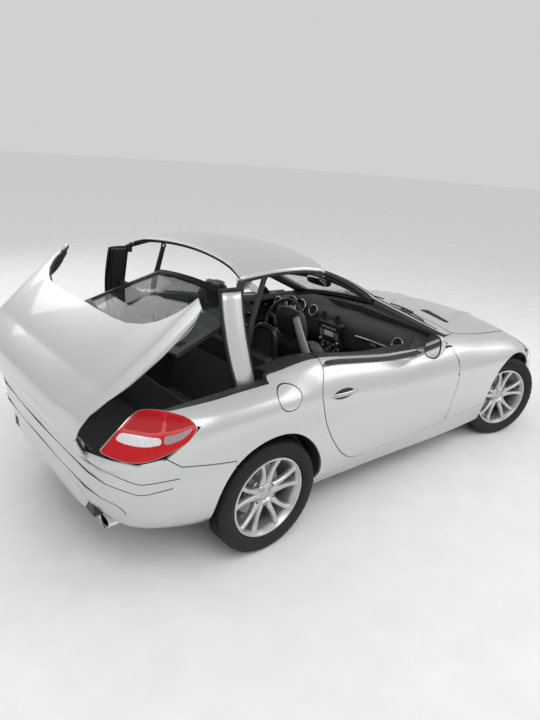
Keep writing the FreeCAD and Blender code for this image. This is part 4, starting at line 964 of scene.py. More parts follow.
skinPiece("tailSkin", tailLoop, "paint", 0, nodes=("rear_bumper",), topLevel=6, stepT=0.1, depth=0.012,
          change=tailChange)
# Dark lines on the rear bumper: painted shade for the bumper's fine grooves
grooveShadeLines = {"Upper": ((-1745, 607), (-1911, 610), (-2014, 640), (-2062, 688), (-2110, 694)),
              "Lower": ((-1770, 562), (-1901, 551), (-1996, 577), (-2065, 601), (-2110, 606)),
              "Diffuser": ((-1957, 429), (-1979, 462), (-2040, 500), (-2075, 508), (-2110, 510))}
endCap = {"middle": 597.0, "half": 585.0, "up": 130.0, "down": 175.0, "x": -2089.0, "bulge": 14.0}


def tailGrooveShade(name, points):
    # Fine dark line of painted shade along a groove of the bumper, on both halves, from the side round to the middle
    first = sectionOfX(points[0][0])
    high = blendTable(sorted(points), -2075.0)
    for sideSign, sideName in sides:
        spots = []
        for k in range(17):
            s = first * (1 - k / 16)
            t = levelOf(s, blendTable(sorted(points), sectionAt(s)[0]), 2, 0.0, 6.0)
            x, y, z = tailChange(*bodyPoint(s, t), s, t)
            spots.append((x - 1.0 - 4.5 * (k / 16) ** 3, sideSign * (y + 2.5 * (1 - k / 16)), z))
        wide = abs(spots[-1][1])
        lift = (high - endCap["middle"]) / (endCap["up"] if high > endCap["middle"] else endCap["down"])
        for k in range(1, 9):
            y = wide * (1 - k / 8)
            x = endCap["x"] + endCap["bulge"] * min(math.hypot(y / endCap["half"], lift), 1.0)
            x, y, z = tailChange(x, y, high, 0.0, 0.0)
            spots.append((x - 5.5, sideSign * y, high))
        tubePiece(name + sideName, spots, 2.4, "rubber", "body")


for stripName, stripPoints in grooveShadeLines.items():
    tailGrooveShade("tailGrooveShade" + stripName, stripPoints)

rows = []
for k in range(31):
    y = -510 + 34 * k
    share = abs(y) / 510
    rows.append([(-2040 + 34 * share ** 4, y, 600 - 120 * share ** 2), (-2043 + 30 * share ** 6, y, 440),
                 (-2038 + 28 * share ** 9, y, 385), (-2026 + 40 * share ** 14, y, 341),
                 (-1995 + 30 * share ** 14, y, 331)])
loftPiece("tailValance", rows, "paint", "body", closed=False, depth=3)

lampOutline = [(-2035, 754), (-2006, 801), (-1976, 842), (-1922, 882), (-1863, 906), (-1803, 904), (-1741, 891),
               (-1696, 877), (-1672, 861), (-1660, 836), (-1706, 784), (-1755, 760), (-1813, 736), (-1860, 722),
               (-1904, 717), (-1958, 721), (-2005, 738)]
lampWhite = [(-1961, 845), (-1912, 833), (-1860, 820), (-1822, 816), (-1814, 799), (-1825, 783), (-1877, 778),
             (-1923, 785), (-1960, 797), (-1985, 813)]
lampSmoke = [(-1810, 819), (-1747, 825), (-1680, 838), (-1698, 816), (-1735, 795), (-1775, 785), (-1817, 779)]
lampTop = [(-1924, 872), (-1897, 886), (-1863, 898), (-1803, 897), (-1770, 890), (-1790, 860), (-1808, 828),
           (-1860, 830), (-1912, 843), (-1952, 852)]
lampCorner = [(-1764, 889), (-1700, 872), (-1678, 857), (-1668, 845), (-1747, 833), (-1802, 826), (-1784, 858)]
lampCells = (("White", lampWhite, "whiteLens", 0.008), ("Smoke", lampSmoke, "smokeLens", 0.008),
             ("Top", lampTop, "deepRed", 0.0075), ("Corner", lampCorner, "deepRed", 0.0075))
fine = {"depth": 0.005, "stepS": 0.05, "stepT": 0.06}
for sideSign, sideName in sides:
    skinPiece("tailLampRim" + sideName, zMarks(roundCorners(grown(lampOutline, 1.5), 26)), "silverTrim", sideSign,
              proud=0.002, nodes=("tail_lamps",) if sideSign > 0 else (), **fine)
    skinPiece("tailLampLens" + sideName, zMarks(roundCorners(grown(lampOutline, -2), 26)), "redLens", sideSign,
              proud=0.006, **fine)
    for cellName, outline, finish, lift in lampCells:
        skinPiece("tailLamp" + cellName + sideName, zMarks(roundCorners(grown(outline, -3), 16)), finish, sideSign,
                  proud=lift, **fine)
    for flute in range(5):
        spots = []
        for mark in straight((-1950 + flute * 24, 838 - flute * 5), (-1955 + flute * 26, 800 - flute * 2), 4):
            spot = sidePoint(*mark)
            spots.append((spot[0] - 3, sideSign * (spot[1] + 8), spot[2]))
        tubePiece(f"lampFlute{sideName}{flute}", spots, 3.2, "whiteLens", "body")

print("boot lid")
lid = {"hinge": (-2040.0, 700.0), "open": 37.2, "inset": 12.0, "edgeMiddle": 1.45, "edgeSide": 2.08,
       "edgeRise": 30.0, "crease": 11.0}


def leanBack(x, z, pivot, angle):
    # Turned in side view about a pivot
    turn = math.radians(angle)
    dx, dz = x - pivot[0], z - pivot[1]
    return pivot[0] + dx * math.cos(turn) - dz * math.sin(turn), pivot[1] + dx * math.sin(turn) + dz * math.cos(turn)


def lidShape(x, y, z, s, t):
    # Sharp side crease and a lifted trailing edge that bows back towards the middle
    across = min(abs(y) / 640, 1.0)
    near = ease(1 - abs(s - 2.0) / 1.05)
    x, y, z = bodyPoint(s + (lid["edgeMiddle"] + (lid["edgeSide"] - lid["edgeMiddle"]) * across ** 2 - 2.0) * near, t)
    peak = max(0.0, 1 - (s - 2.0) / 0.9) if s >= 2 else max(0.0, 1 - (2.0 - s) / 0.5)
    rise = lid["edgeRise"] * (1 - 0.72 * across ** 2) * peak
    fold = lid["crease"] * max(0.0, 1 - abs(t - 4.7) / 0.5) * min(max((s - 1.6) / 0.5, 0.0), 1.0)
    return x - 0.45 * rise, y + 0.3 * fold, z + rise + fold


def lidChange(x, y, z, s, t):
    x, y, z = lidShape(x, y, z, s, t)
    if y < 3:
        y = 0.0
    x, z = leanBack(x, z, lid["hinge"], lid["open"])
    return x, y, z


lidEdge = yMarks([(-1278, 722), (-1330, 712), (-1375, 694), (-1420, 662), (-1460, 622), (-1497, 560), (-1528, 470),
                  (-1540, 350), (-1543, 200), (-1542, 80), (-1540, 0.5)])
lidLoop = zMarks([(-2060, 722), (-2052, 752), (-2036, 792), (-2016, 832), (-1993, 864), (-1965, 885), (-1932, 895),
                  (-1880, 900), (-1838, 903), (-1790, 903), (-1729, 903), (-1560, 910), (-1406, 919), (-1345, 923)])
lidLoop += yMarks([(-1300, 760), (-1275, 725)]) + lidEdge
lidLoop += [("s", sectionOfX(-1543), 6.0), ("s", -0.55, 6.0), ("s", -0.5, 5.0), ("s", -0.2, 4.0), ("s", 0.05, 3.45),
            ("s", 0.2, 3.4)]
lidSkin = skinPiece("lidSkin", lidLoop, "paint", 0, body="boot_lid", nodes=("boot_lid",), topLevel=6, stepT=0.05,
                    stepS=0.05, depth=0.006, change=lidChange)
lidSkin.data.set_sharp_from_angle(angle=math.radians(45))


def liningChange(x, y, z, s, t):
    # Inner panel, a little inside the lid's skin
    x, y, z = lidShape(x, y, z, s, t)
    y = y * (0.978 - 0.035 * ease((4.5 - t) / 0.6)) if y >= 3 else 0.0
    x, z = leanBack(x + lid["inset"] * ease(2.6 - s), z - lid["inset"], lid["hinge"], lid["open"])
    return x, y, z


skinPiece("lidLining", lidLoop, "plastic", 0, body="boot_lid", topLevel=6, stepT=0.2, stepS=0.2, depth=0.004,
          change=liningChange)


def lidSpot(s, t, side, lift):
    # Spot on the opened lid, lifted off its skin
    x, y, z = lidShape(0.0, bodyPoint(s, t)[1], 0.0, s, t)
    x, z = leanBack(x - 0.5 * lift, z + lift, lid["hinge"], lid["open"])
    return x, side * y, z


brake = []
for k in range(21):
    t = 5.45 + 1.1 * k / 20
    side = 1 if t <= 6 else -1
    brake.append(lidSpot(1.93, t if t <= 6 else 12 - t, side, -3.0))
tubePiece("centreBrakeLamp", brake, 5.5, "redLens", "boot_lid")
plateRows = []
for k in range(9):
    s = 1.05 + 0.5 * k / 8
    row = []
    for m in range(13):
        t = 5.52 + 0.96 * m / 12
        row.append(lidSpot(s, t if t <= 6 else 12 - t, 1 if t <= 6 else -1, 4.0))
    plateRows.append(row)
loftPiece("blankPlate", plateRows, "plate", "boot_lid", closed=False, depth=5, edge=1.5)
for sideSign, sideName in sides:
    seal = []
    for k in range(17):
        x = -1880 + 520 * k / 16
        height = blendTable([(-1880, 902), (-1729, 906), (-1560, 914), (-1406, 923), (-1345, 927)], x)
        sx, sy, sz = sidePoint(x, height)
        sx, sz = leanBack(sx, sz - 6, lid["hinge"], lid["open"])
        seal.append((sx, sideSign * (sy - 26), sz - 2))
    tubePiece("lidSeal" + sideName, seal, 6, "rubber", "boot_lid")
    bootSeal = []
    for k in range(17):
        sx, sy, sz = sidePoint(-1820 + 520 * k / 16, 878 + 36 * k / 16)
        bootSeal.append((sx, sideSign * (sy - 26), sz - 4))
    tubePiece("bootSeal" + sideName, bootSeal, 12, "rubber", "body")
    line = [lidSpot(4.62, 4.5, sideSign, -24), lidSpot(4.35, 4.6, sideSign, -46), lidSpot(3.9, 4.8, sideSign, -60),
            lidSpot(3.2, 5.0, sideSign, -62), lidSpot(2.4, 5.1, sideSign, -60)]
    tubePiece("lidFrameBar" + sideName, line, 16, "plastic", "boot_lid")
    for k, share in enumerate((0.15, 0.4)):
        x, y, z = line[1]
        tubePiece(f"lidLinkage{sideName}{k}", [line[0], (x, y, z + (-30 - 40 * share)), line[2]], 9, "steel",
                  "boot_lid")

print("roof panel")
roof = {"shift": (-403.3, 162.3), "front": (-174.0, -86.0), "back": (-772.0, -60.0), "lift": 14.0, "roll": 17.0,
        "drop": 5.0, "crown": 9.0, "rows": ((-845, 556, 1222, 1262), (-640, 583, 1252, 1289), (-430, 588, 1252, 1294),
                               (-150, 545, 1203, 1262))}


def roofCurve(x, column):
    rows = roof["rows"]
    values = [row[column] for row in rows]
    spots = [row[0] for row in rows]
    index = max(k for k in range(3) if spots[k] <= max(x, spots[0]))
    total = 0.0
    for k in range(4):
        weight = 1.0
        for j in range(4):
            if j != k:
                weight *= (x - spots[j]) / (spots[k] - spots[j])
        total += weight * values[k]
    straight = values[index] + (values[index + 1] - values[index]) * (x - spots[index]) / (
        spots[index + 1] - spots[index])
    return 0.7 * total + 0.3 * straight


def roofPlace(u, v):
    # u runs 0 front to 1 back, v -1.2 to 1.2 across; the last 0.2 on each side rolls down
    across = min(max(v, -1.0), 1.0)
    start = roof["front"][0] + roof["front"][1] * across ** 2
    end = roof["back"][0] + roof["back"][1] * across ** 2
    x = start + (end - start) * u
    half = roofCurve(x, 1)
    edgeZ, midZ = roofCurve(x, 2), roofCurve(x, 3)
    flat = half - roof["roll"]
    y = across * flat
    share = abs(across)
    fall = 0.45 * (share / 0.8) ** 2 if share < 0.8 else 0.45 + 0.55 * ((share - 0.8) / 0.2) ** 1.2
    z = midZ + roof["crown"] - (midZ + roof["crown"] - edgeZ) * fall
    if abs(v) > 1:
        turn = (abs(v) - 1) / 0.2
        angle = min(turn * 1.6, 1.0) * math.pi / 2
        y += math.copysign(roof["roll"] * math.sin(angle), v)
        z -= roof["roll"] * (1 - math.cos(angle)) + max(turn - 0.5, 0) * 2 * (roof["drop"])
    lip = ease((0.06 - u) / 0.06) * 6 + ease((u - 0.97) / 0.03) * 3
    return x + roof["shift"][0], y, z + roof["shift"][1] + roof["lift"] - lip


roofLoop = [(0.0, -1.2), (1.0, -1.2), (1.0, 1.2), (0.0, 1.2)]
sheetPiece("roofSkin", [roofLoop], roofPlace, "paint", "roof_panel", step=(0.03, 0.05), depth=7.0, edge=2.0,
           outwards=(0, 0, 1), nodes=("roof_panel",))


def liningPlace(u, v):
    x, y, z = roofPlace(0.012 + 0.972 * u, 0.955 * v)
    return x, y, z - 15


sheetPiece("roofLining", [roofLoop], liningPlace, "blackPaint", "roof_panel", step=(0.05, 0.1), depth=8.0, edge=2.0,
           outwards=(0, 0, 1))
for sideSign, sideName in sides:
    line = [roofPlace(0.02 + 0.96 * k / 8, 1.17 * sideSign) for k in range(9)]
    tubePiece("roofSeal" + sideName, [(x, y - 6 * sideSign, z - 9) for x, y, z in line], 10, "rubber", "roof_panel")
line = [roofPlace(1.0, -1.05 + 2.1 * k / 12) for k in range(13)]
tubePiece("roofRearSeal", [(x + 12, y, z - 15) for x, y, z in line], 6, "rubber", "roof_panel")
line = [roofPlace(0.0, -1.05 + 2.1 * k / 12) for k in range(13)]
tubePiece("roofFrontSeal", [(x - 8, y, z - 18) for x, y, z in line], 9, "rubber", "roof_panel")

print("rear pillars")
pillar = {"rows": ((800, -1319, -1224, 722), (905, -1340, -1237, 716), (1010, -1360, -1253, 692),
                   (1130, -1374, -1266, 662), (1240, -1377, -1268, 631), (1342, -1371, -1263, 603)), "proud": 4.0,
          "seal": 9.0}
for sideSign, sideName in sides:
    rings = []
    for row in spread([tuple(row) for row in pillar["rows"]], 16):
        z, rear, front, y = row
        out = y + pillar["proud"]
        ring = []
        for share, drop in ((0.0, 16), (0.015, 6), (0.06, 1.5), (0.3, -2.5), (0.6, -2.5), (0.93, 1.5), (0.985, 6),
                            (1.0, 18)):
            ring.append((rear - 4 + (front - rear + 6) * share, sideSign * (out - drop), z))
        rings.append(ring)
    loftPiece("pillarSkin" + sideName, rings, "paint", "rear_pillars", closed=False, crease=60, depth=2.5)
    rear = [(row[1] - 6, sideSign * (row[3] - 16), row[0] + 4) for row in pillar["rows"]]
    front = [(row[2] + 6, sideSign * (row[3] - 12), row[0] + 4) for row in pillar["rows"]]
    tubePiece("pillarSealRear" + sideName, rear, pillar["seal"], "rubber", "rear_pillars")
    tubePiece("pillarSealFront" + sideName, front, pillar["seal"], "rubber", "rear_pillars")
    top = [(-1376, 596, 1350), (-1330, 601, 1356), (-1262, 603, 1352)]
    tubePiece("pillarSealTop" + sideName, onSide(top, sideSign), 8, "rubber", "rear_pillars")
    cover = [(800, 640), (905, 640), (1010, 628), (1130, 606), (1240, 580), (1345, 552)]
    rings = []
    for z, y in cover:
        row = [blendTable([(r[0], r[k]) for r in pillar["rows"]], z) for k in (1, 2)]
        rings.append([(row[0] + 6, sideSign * (y + 36), z), (row[0] + 20, sideSign * y, z),
                      (row[1] - 18, sideSign * y, z), (row[1] - 4, sideSign * (y + 36), z)])
    loftPiece("pillarLining" + sideName, rings, "plastic", "rear_pillars", closed=True, edge=4.0)

print("windscreen frame")
screen = {"base": (440.0, 893.0, 705.0, 560.0, 944.0), "head": (-250.0, 1196.0, 600.0, -158.0, 1262.0)}


def screenPlace(u, v, lift=0.0):
    # u -1 to 1 across, v 0 at the base to 1 at the header
    base, head = screen["base"], screen["head"]
    cornerX, cornerZ, half, midX, midZ = [a + v * (b - a) for a, b in zip(base, head)]
    x = midX + (cornerX - midX) * u * u
    z = midZ + (cornerZ - midZ) * u * u
    return x + lift * 0.45, u * half, z + lift * 0.89


screenOuter = [(-1.0, 0.0), (1.0, 0.0), (1.0, 1.0), (-1.0, 1.0)]
screenHole = [(-0.93, 0.06), (0.93, 0.06), (0.918, 0.94), (-0.918, 0.94)]
sheetPiece("screenFrameSkin", [screenOuter, screenHole], lambda u, v: screenPlace(u, v, 2.5), "paint", "body",
           step=(0.06, 0.05), depth=6.0, edge=2.0, outwards=(0.4, 0, 1))
screenEdge = [screenPlace(u, v, 1.5) for u, v in [(-0.922, 0.06 + 0.88 * k / 8) for k in range(9)] +
              [(-0.912 + 1.824 * k / 12, 0.945) for k in range(13)] + [(0.922, 0.94 - 0.88 * k / 8) for k in range(9)]]
tubePiece("screenSeal", screenEdge, 5, "rubber", "body")
for sideSign, sideName in sides:
    line = [screenPlace(sideSign * 1.0, 0.02 + 0.96 * k / 8, -14.0) for k in range(9)]
    tubePiece("screenPostSeal" + sideName, [(x - 6, y - 4 * sideSign, z - 8) for x, y, z in line], 12, "rubber",
              "body")
line = [screenPlace(-0.97 + 1.94 * k / 14, 1.0, -16.0) for k in range(15)]
tubePiece("screenHeaderSeal", [(x - 4, y, z - 4) for x, y, z in line], 13, "rubber", "body")
sheetPiece("screenBand", [[(-0.915, 0.06), (0.915, 0.06), (0.91, 0.11), (-0.91, 0.11)]],
           lambda u, v: screenPlace(u, v, -9.0), "blackPaint", "body", step=(0.06, 0.03), depth=2.0, edge=0.4)
mirrorPlace = turnedPlace((-120, 0, 1172), "Y", -14)
rows = []
for x, k in ((14, 0.82), (8, 1.0), (-8, 1.0), (-14, 0.94)):
    rows.append([(x, 112 * k * signedPower(c, 0.55), 33 * k * signedPower(q, 0.6)) for c, q in circle(24)])
loftPiece("innerMirrorShell", rows, "plastic", "body", where=mirrorPlace)
rows = [[(x, y * 0.9, z * 0.86) for x, y, z in ring] for ring in ([(-15, p[1], p[2]) for p in rows[2]],
                                                                  [(-16, p[1] * 0.97, p[2] * 0.95) for p in rows[2]])]
loftPiece("innerMirrorGlass", rows, "mirror", "body", where=mirrorPlace)
tubePiece("innerMirrorStalk", [(-118, 0, 1190), (-100, 0, 1212), (-96, 0, 1232)], 8, "plastic", "body")
for sideSign, sideName in sides:
    visor = [[screenPlace(sideSign * u, v, -34.0 - 6 * math.sin(math.pi * w)) for u in (0.16, 0.3, 0.5, 0.7, 0.84)]
             for v, w in ((0.98, 0.0), (0.93, 0.5), (0.86, 0.6), (0.80, 0.0))]
    loftPiece("sunVisor" + sideName, visor, "dash", "body", closed=False, depth=14, edge=4.0)

print("wipers")
for name, foot, tip in (("wiperDriver", (585, 330), (300, -250)), ("wiperPassenger", (575, -120), (330, -585))):
    line = []
    for x, y in straight(foot, tip, 7):
        low, high = 0.0, 1.0
        for _ in range(20):
            mid = 0.5 * (low + high)
            half = screen["base"][2] + mid * (screen["head"][2] - screen["base"][2])
            if screenPlace(y / half, mid)[0] > x:
                low = mid
            else:
                high = mid
        spot = screenPlace(y / half, mid, 10.0)
        line.append(spot if spot[2] > 930 else (x, y, 955))
    tubePiece(name + "Arm", [(x + 8, y, z + 8) for x, y, z in line[:5]], 6, "blackPaint", "body")
    tubePiece(name + "Blade", line[2:], 4.5, "rubber", "body")

print("belt trim")


def beltStrip(name, start, end, side, body, low):
    # Strip along the belt, from a level just over the crease to just past the deck edge
    count, high = 14, 5.1
    rows = []
    for k in range(count + 1):
        s = sectionOfX(start + (end - start) * k / count)
        row = []
        for j in range(5):
            x, y, z = bodyPoint(s, low + (high - low) * j / 4)
            row.append((x, side * (y - (4 if j == 4 else 0)), z - 1.5 - (26 if j == 4 else 0)))
        rows.append(row)
    loftPiece(name, rows, "rubber", body, closed=False, depth=6, crease=50)


for sideSign, sideName in sides:
    beltStrip("doorBelt" + sideName, -858, 330, sideSign, "door_" + sideName, low=4.24)
    beltStrip("quarterBelt" + sideName, -1186, -866, sideSign, "body", low=4.18)

print("filler flap")
skinPiece("fillerFlap", fillerRing(-filler["gap"] / 2), "paint", -1, depth=0.008, stepS=0.05, stepT=0.06)
skinPiece("fillerWell", fillerRing(6), "rubber", -1, depth=0.003, stepS=0.05, stepT=0.06,
          change=lambda x, y, z, s, t: (x, y - 10, z - 5))

print("door handles")
handle = {"low": (-872.0, 806.0), "high": (-642.0, 796.0), "thick": 9.5, "stand": 15.0}
for sideSign, sideName in sides:
    rings = []
    for k in range(17):
        w = k / 16
        x = handle["low"][0] + (handle["high"][0] - handle["low"][0]) * w
        z = handle["low"][1] + (handle["high"][1] - handle["low"][1]) * w
        bow = math.sin(math.pi * min(max(w * 1.04 - 0.02, 0), 1)) ** 0.45
        out = sidePoint(x, z)[1] - 6 + (handle["stand"] + 4) * bow
        tall = 12.5 * (0.55 + 0.45 * math.sin(math.pi * w) ** 0.5)
        rings.append([(x, sideSign * (out + handle["thick"] * 0.75 * c), z + tall * q) for c, q in circle(12)])
    loftPiece("doorHandle" + sideName, rings, "silverTrim", "door_" + sideName, crease=70)
    # Black sheet laid flat on the door behind the handle: painted shade standing for the shaded recess there
    dish = [("z", -800 + 82 * math.cos(math.radians(a)) + 42, 800 + 27 * math.sin(math.radians(a)))
            for a in range(0, 360, 15)]
    skinPiece("handleRecessShade" + sideName, dish, "blackPaint", sideSign, depth=0.002, body="door_" + sideName, stepS=0.05,
              stepT=0.05, change=lambda x, y, z, s, t: (x, y + 0.8, z))

print("mirrors")
mirrorLook = {"centre": (-8.0, 940.0, 964.0), "half": (72.0, 52.0), "deep": 68.0}
for sideSign, sideName in sides:
    cx, cy, cz = mirrorLook["centre"]
    rings = []
    for share in (0.0, 0.06, 0.18, 0.36, 0.55, 0.72, 0.86, 0.95, 0.995):
        size = math.sqrt(max(1 - (share * 0.985) ** 2.2, 0.0006))
        size = size if share > 0 else 0.985
        ring = []
        for c, q in circle(28):
            wide = mirrorLook["half"][1] * signedPower(c, 0.72)
            tall = mirrorLook["half"][0] * signedPower(q, 0.78)
            ring.append((cx - 60 + mirrorLook["deep"] * 1.65 * share, sideSign * (cy + size * wide - 6 * share),
                         cz + size * tall - 8 * share + 0.10 * wide))
        rings.append(ring)
    loftPiece("mirrorShell" + sideName, rings, "paint", "door_" + sideName, crease=60,
              nodes=("mirror_" + sideName,))
    face = rings[0]
    tubePiece("mirrorRim" + sideName, face + face[:1], 4.5, "blackPaint", "door_" + sideName)
    glass = [[(x - 3 + j, sideSign * (cy + (abs(y) - cy) * (0.93 - 0.02 * j)), cz + (z - cz) * (0.93 - 0.02 * j))
              for x, y, z in face] for j in (0, 1)]
    loftPiece("mirrorGlass" + sideName, glass, "mirror", "door_" + sideName)
    rings = []
    for x0, x1, y, z0, z1 in ((-14, 96, 774, 852, 884), (-8, 84, 806, 862, 892), (-14, 66, 850, 886, 910),
                              (-26, 46, 884, 906, 930), (-32, 34, 912, 922, 944)):
        rings.append([(x0, sideSign * y, z0), ((x0 + x1) / 2, sideSign * y, z0 - 5), (x1, sideSign * y, z0),
                      (x1 + 4, sideSign * y, (z0 + z1) / 2), (x1, sideSign * y, z1),
                      ((x0 + x1) / 2, sideSign * y, z1 + 6), (x0, sideSign * y, z1),
                      (x0 - 4, sideSign * y, (z0 + z1) / 2)])
    loftPiece("mirrorArm" + sideName, rings, "paint", "door_" + sideName, crease=70)
    fin = [[(-78, 768, 866), (96, 768, 850), (96, 768, 900), (30, 740, 955)],
           [(-78, 756, 866), (96, 756, 850), (96, 756, 900), (30, 728, 955)]]
    loftPiece("mirrorFin" + sideName, [onSide(row, sideSign) for row in fin], "blackPaint",
              "door_" + sideName, edge=2.0)

print("wheels")
wheel = {"rear": (-1215.0, 770.5, 314.0, 118.0), "front": (1215.0, 765.0, 317.0, 112.0), "steerAxis": 700.0,
         "steer": -17.8}
spokeTable = ((52, 26, 34, 70, 15.5), (75, 19, 40, 73, 13.5), (105, 14.5, 48, 78, 11.8), (140, 13.0, 56, 84, 11.6),
              (175, 13.0, 62, 90, 13.2), (200, 14.0, 66, 95, 15.0), (213, 16.5, 68, 98, 15.8))
lipProfile = ((206, 76), (210, 90), (215, 97), (220, 99), (224, 96), (224, 101), (219, 103.5), (213, 101.5), (208, 93),
              (203, 82), (196, 66), (193, 30), (193, -60), (206, -84), (213, -100), (222, -101), (223, -95))


def wheelPlace(axle, side):
    # Local wheel space: outwards along +y, ready for both sides and for the steered front wheels
    x0, y0, radius, half = wheel[axle]

    def where(x, y, z):
        spot = Vector((x0 + x, side * (y0 + y), radius + z))
        if axle == "front":
            pivot = Vector((x0, side * wheel["steerAxis"], 0))
            spot = Matrix.Rotation(math.radians(wheel["steer"]), 3, "Z") @ (spot - pivot) + pivot
        return spot.x, spot.y, spot.z

    return where


def tyreProfile(radius, half):
    # From the inner bead over the tread to the outer bead
    edge = [(216, 90), (221, 95), (228, 96), (236, half - 8), (250, half - 2.5), (268, half), (284, half - 1.5),
            (radius - 19, half - 5), (radius - 13, half - 8), (radius - 7, half - 14), (radius - 3, half - 21)]
    tread = []
    for y in (72, 47, 19):
        tread += [(radius - 1, y + 6), (radius - 1, y + 4.2), (radius - 8, y + 3.2), (radius - 8, y - 3.2),
                  (radius, y - 4.2)]
    outer = edge + tread + [(radius, 0)]
    return [(r, -y) for r, y in outer[:-1]] + list(reversed(outer))


def addWheel(corner):
    # Tyre, rim, five pairs of spokes, hub, bolts, disc and valve of one wheel
    axle, sideName = corner.split("_")
    side = 1 if sideName == "left" else -1
    body = "wheel_" + corner
    where = wheelPlace(axle, side)
    tag = axle.capitalize() + sideName
    radius, half = wheel[axle][2], wheel[axle][3]
    profile = tyreProfile(radius, half)

    def treadDents(k, j):
        along = abs(profile[j][1])
        if profile[j][0] < radius - 14:
            return 0.0
        wave = (k + (2 if along < 47 else 0) + (1 if profile[j][1] > 0 else 0)) % 4
        if along > 66:
            return 4.0 if wave == 0 else 0.0
        return 3.0 if wave == 0 and 24 < along and profile[j][0] > radius - 4 else 0.0

    revolvePiece("tyre" + tag, profile, where, "tyre", body, steps=176, crease=45, nodes=("tyre_" + corner,),
                 dents=treadDents)
    revolvePiece("rimBarrel" + tag, lipProfile, where, "alloy", body, steps=96, crease=30,
                 nodes=("rim_" + corner,))
    work = bmesh.new()
    for pair in range(5):
        for lean in (-1, 1):
            rings = []
            for r, wide, back, front, spreadAngle in spokeTable:
                angle = math.radians(pair * 72 + 90 + lean * spreadAngle)
                along = (math.cos(angle), math.sin(angle))
                middle = back + 0.55 * (front - back)
                ring = []
                for share, y in ((-1.25, back), (-1.0, middle), (-0.78, front - 3.5), (-0.5, front),
                                 (0.0, front - 2.0), (0.5, front), (0.78, front - 3.5), (1.0, middle), (1.25, back),
                                 (0.6, back - 3), (-0.6, back - 3)):
                    spot = where(along[0] * r - along[1] * wide * share, y, along[1] * r + along[0] * wide * share)
                    ring.append(work.verts.new(place(*spot)))
                rings.append(ring)
            for a, b in zip(rings, rings[1:]):
                for k in range(len(a)):
                    work.faces.new((a[k], a[(k + 1) % len(a)], b[(k + 1) % len(a)], b[k]))
            work.faces.new(rings[0])
            work.faces.new(rings[-1])
    bmesh.ops.recalc_face_normals(work, faces=work.faces)
    mesh = bpy.data.meshes.new("spokes" + tag)
    work.to_mesh(mesh)
    work.free()
    smoothFaces(mesh)
    mesh.set_sharp_from_angle(angle=math.radians(50))
    mesh.materials.append(finishes["alloy"])
    spokes = ridePiece(addObject("spokes" + tag, mesh), body)
    roundOff(spokes)
    hubProfile = ((0, 66.5), (27, 66.5), (30, 64.5), (31, 62.0), (33, 61.5), (36, 66.0), (41, 71.0), (50, 72.5),
                  (62, 70.5), (68, 64), (70, 50), (69, 34))
    revolvePiece("wheelHub" + tag, hubProfile, where, "alloy", body, steps=60, crease=32)
    revolvePiece("hubCap" + tag, ((0, 69.8), (18, 69.2), (25, 67.6), (27.5, 65), (27.5, 60)), where, "silverTrim", body,
                 steps=40)
    for bolt in range(5):
        angle = math.radians(bolt * 72 + 54)
        cx, cz = 56 * math.cos(angle), 56 * math.sin(angle)
        near = (lambda x, y, z, cx=cx, cz=cz: where(cx + x, y, cz + z))
        revolvePiece(f"wheelBolt{tag}{bolt}", ((0, 71.5), (5.5, 71.5), (8.5, 69.5), (8.5, 58)), near, "steel", body,
                     steps=6, crease=20)
        revolvePiece(f"boltWell{tag}{bolt}", ((8.8, 60.0), (9.2, 69.8), (11.0, 73.2), (13.5, 72.4)), near,
                     "blackPaint", body, steps=20, crease=60)
    discProfile = ((70, 34), (74, 30), (75, -7.5), (80, -8), (143, -8), (144, -9), (144, -16), (128, -17), (128, -21),
                   (144, -22), (144, -29), (143, -30), (78, -30), (74, -28))
    revolvePiece("brakeDisc" + tag, discProfile, where, "steel", body, steps=72, crease=30)
    valve = math.radians(18)
    vx, vz = 197 * math.cos(valve), 197 * math.sin(valve)
    stem = [where(vx * share, y, vz * share) for share, y in ((1, 60), (0.975, 72), (0.96, 84))]
    tubePiece("valveStem" + tag, stem, 4, "rubber", body)


for corner in corners:
    addWheel(corner)

print("wheelhouse liners")
for axleName, axle in (("Front", 1), ("Rear", -1)):
    for sideSign, sideName in sides:
        rows = []
        for y, grow in ((838, 8), (700, 12), (520, 12)):
            radius = arch["radius"] + grow
            rows.append([(axle * arch["x"] + radius * math.cos(math.radians(a)), sideSign * y,
                          arch["z"] + radius * math.sin(math.radians(a))) for a in range(-18, 199, 9)])
        loftPiece("wheelLiner" + axleName + sideName, rows, "plastic", "body", closed=False, depth=3)

print("exhaust tips")
tip = {"y": 490.0, "z": 246.0, "wide": 50.0, "tall": 31.0}
for sideSign, sideName in sides:
    rings = []
    for x, k in ((-1700, 0.92), (-1800, 0.97), (-1920, 1.0), (-1934, 1.0), (-1937, 0.975), (-1934, 0.95), (-1920, 0.93),
                 (-1760, 0.90)):
        rings.append([(x + (8 * math.cos(math.radians(a)) if x < -1900 else 0),
                       sideSign * (tip["y"] + tip["wide"] * k * math.sin(math.radians(a))),
                       tip["z"] + tip["tall"] * k * math.cos(math.radians(a))) for a in range(0, 360, 12)])
    loftPiece("exhaustTip" + sideName, rings, "chrome", "body", caps=False, crease=35)
    rings = [[(-1765, sideSign * (tip["y"] + 46 * k * math.sin(math.radians(a))),
               tip["z"] + 28 * k * math.cos(math.radians(a))) for a in range(0, 360, 15)] for k in (1.0, 0.02)]
    loftPiece("exhaustThroat" + sideName, rings, "blackPaint", "body", caps=False)

print("dashboard")
dash = {"half": 676.0, "hoodMiddle": 370.0, "hoodHalf": 190.0, "hoodLift": 66.0, "mound": 16.0}
dashProfile = ((604, 836), (520, 864), (430, 876), (340, 882), (240, 888), (160, 890), (110, 886), (78, 872), (60, 845),
               (54, 800), (56, 745), (72, 700), (100, 660), (150, 628), (250, 600), (600, 588))


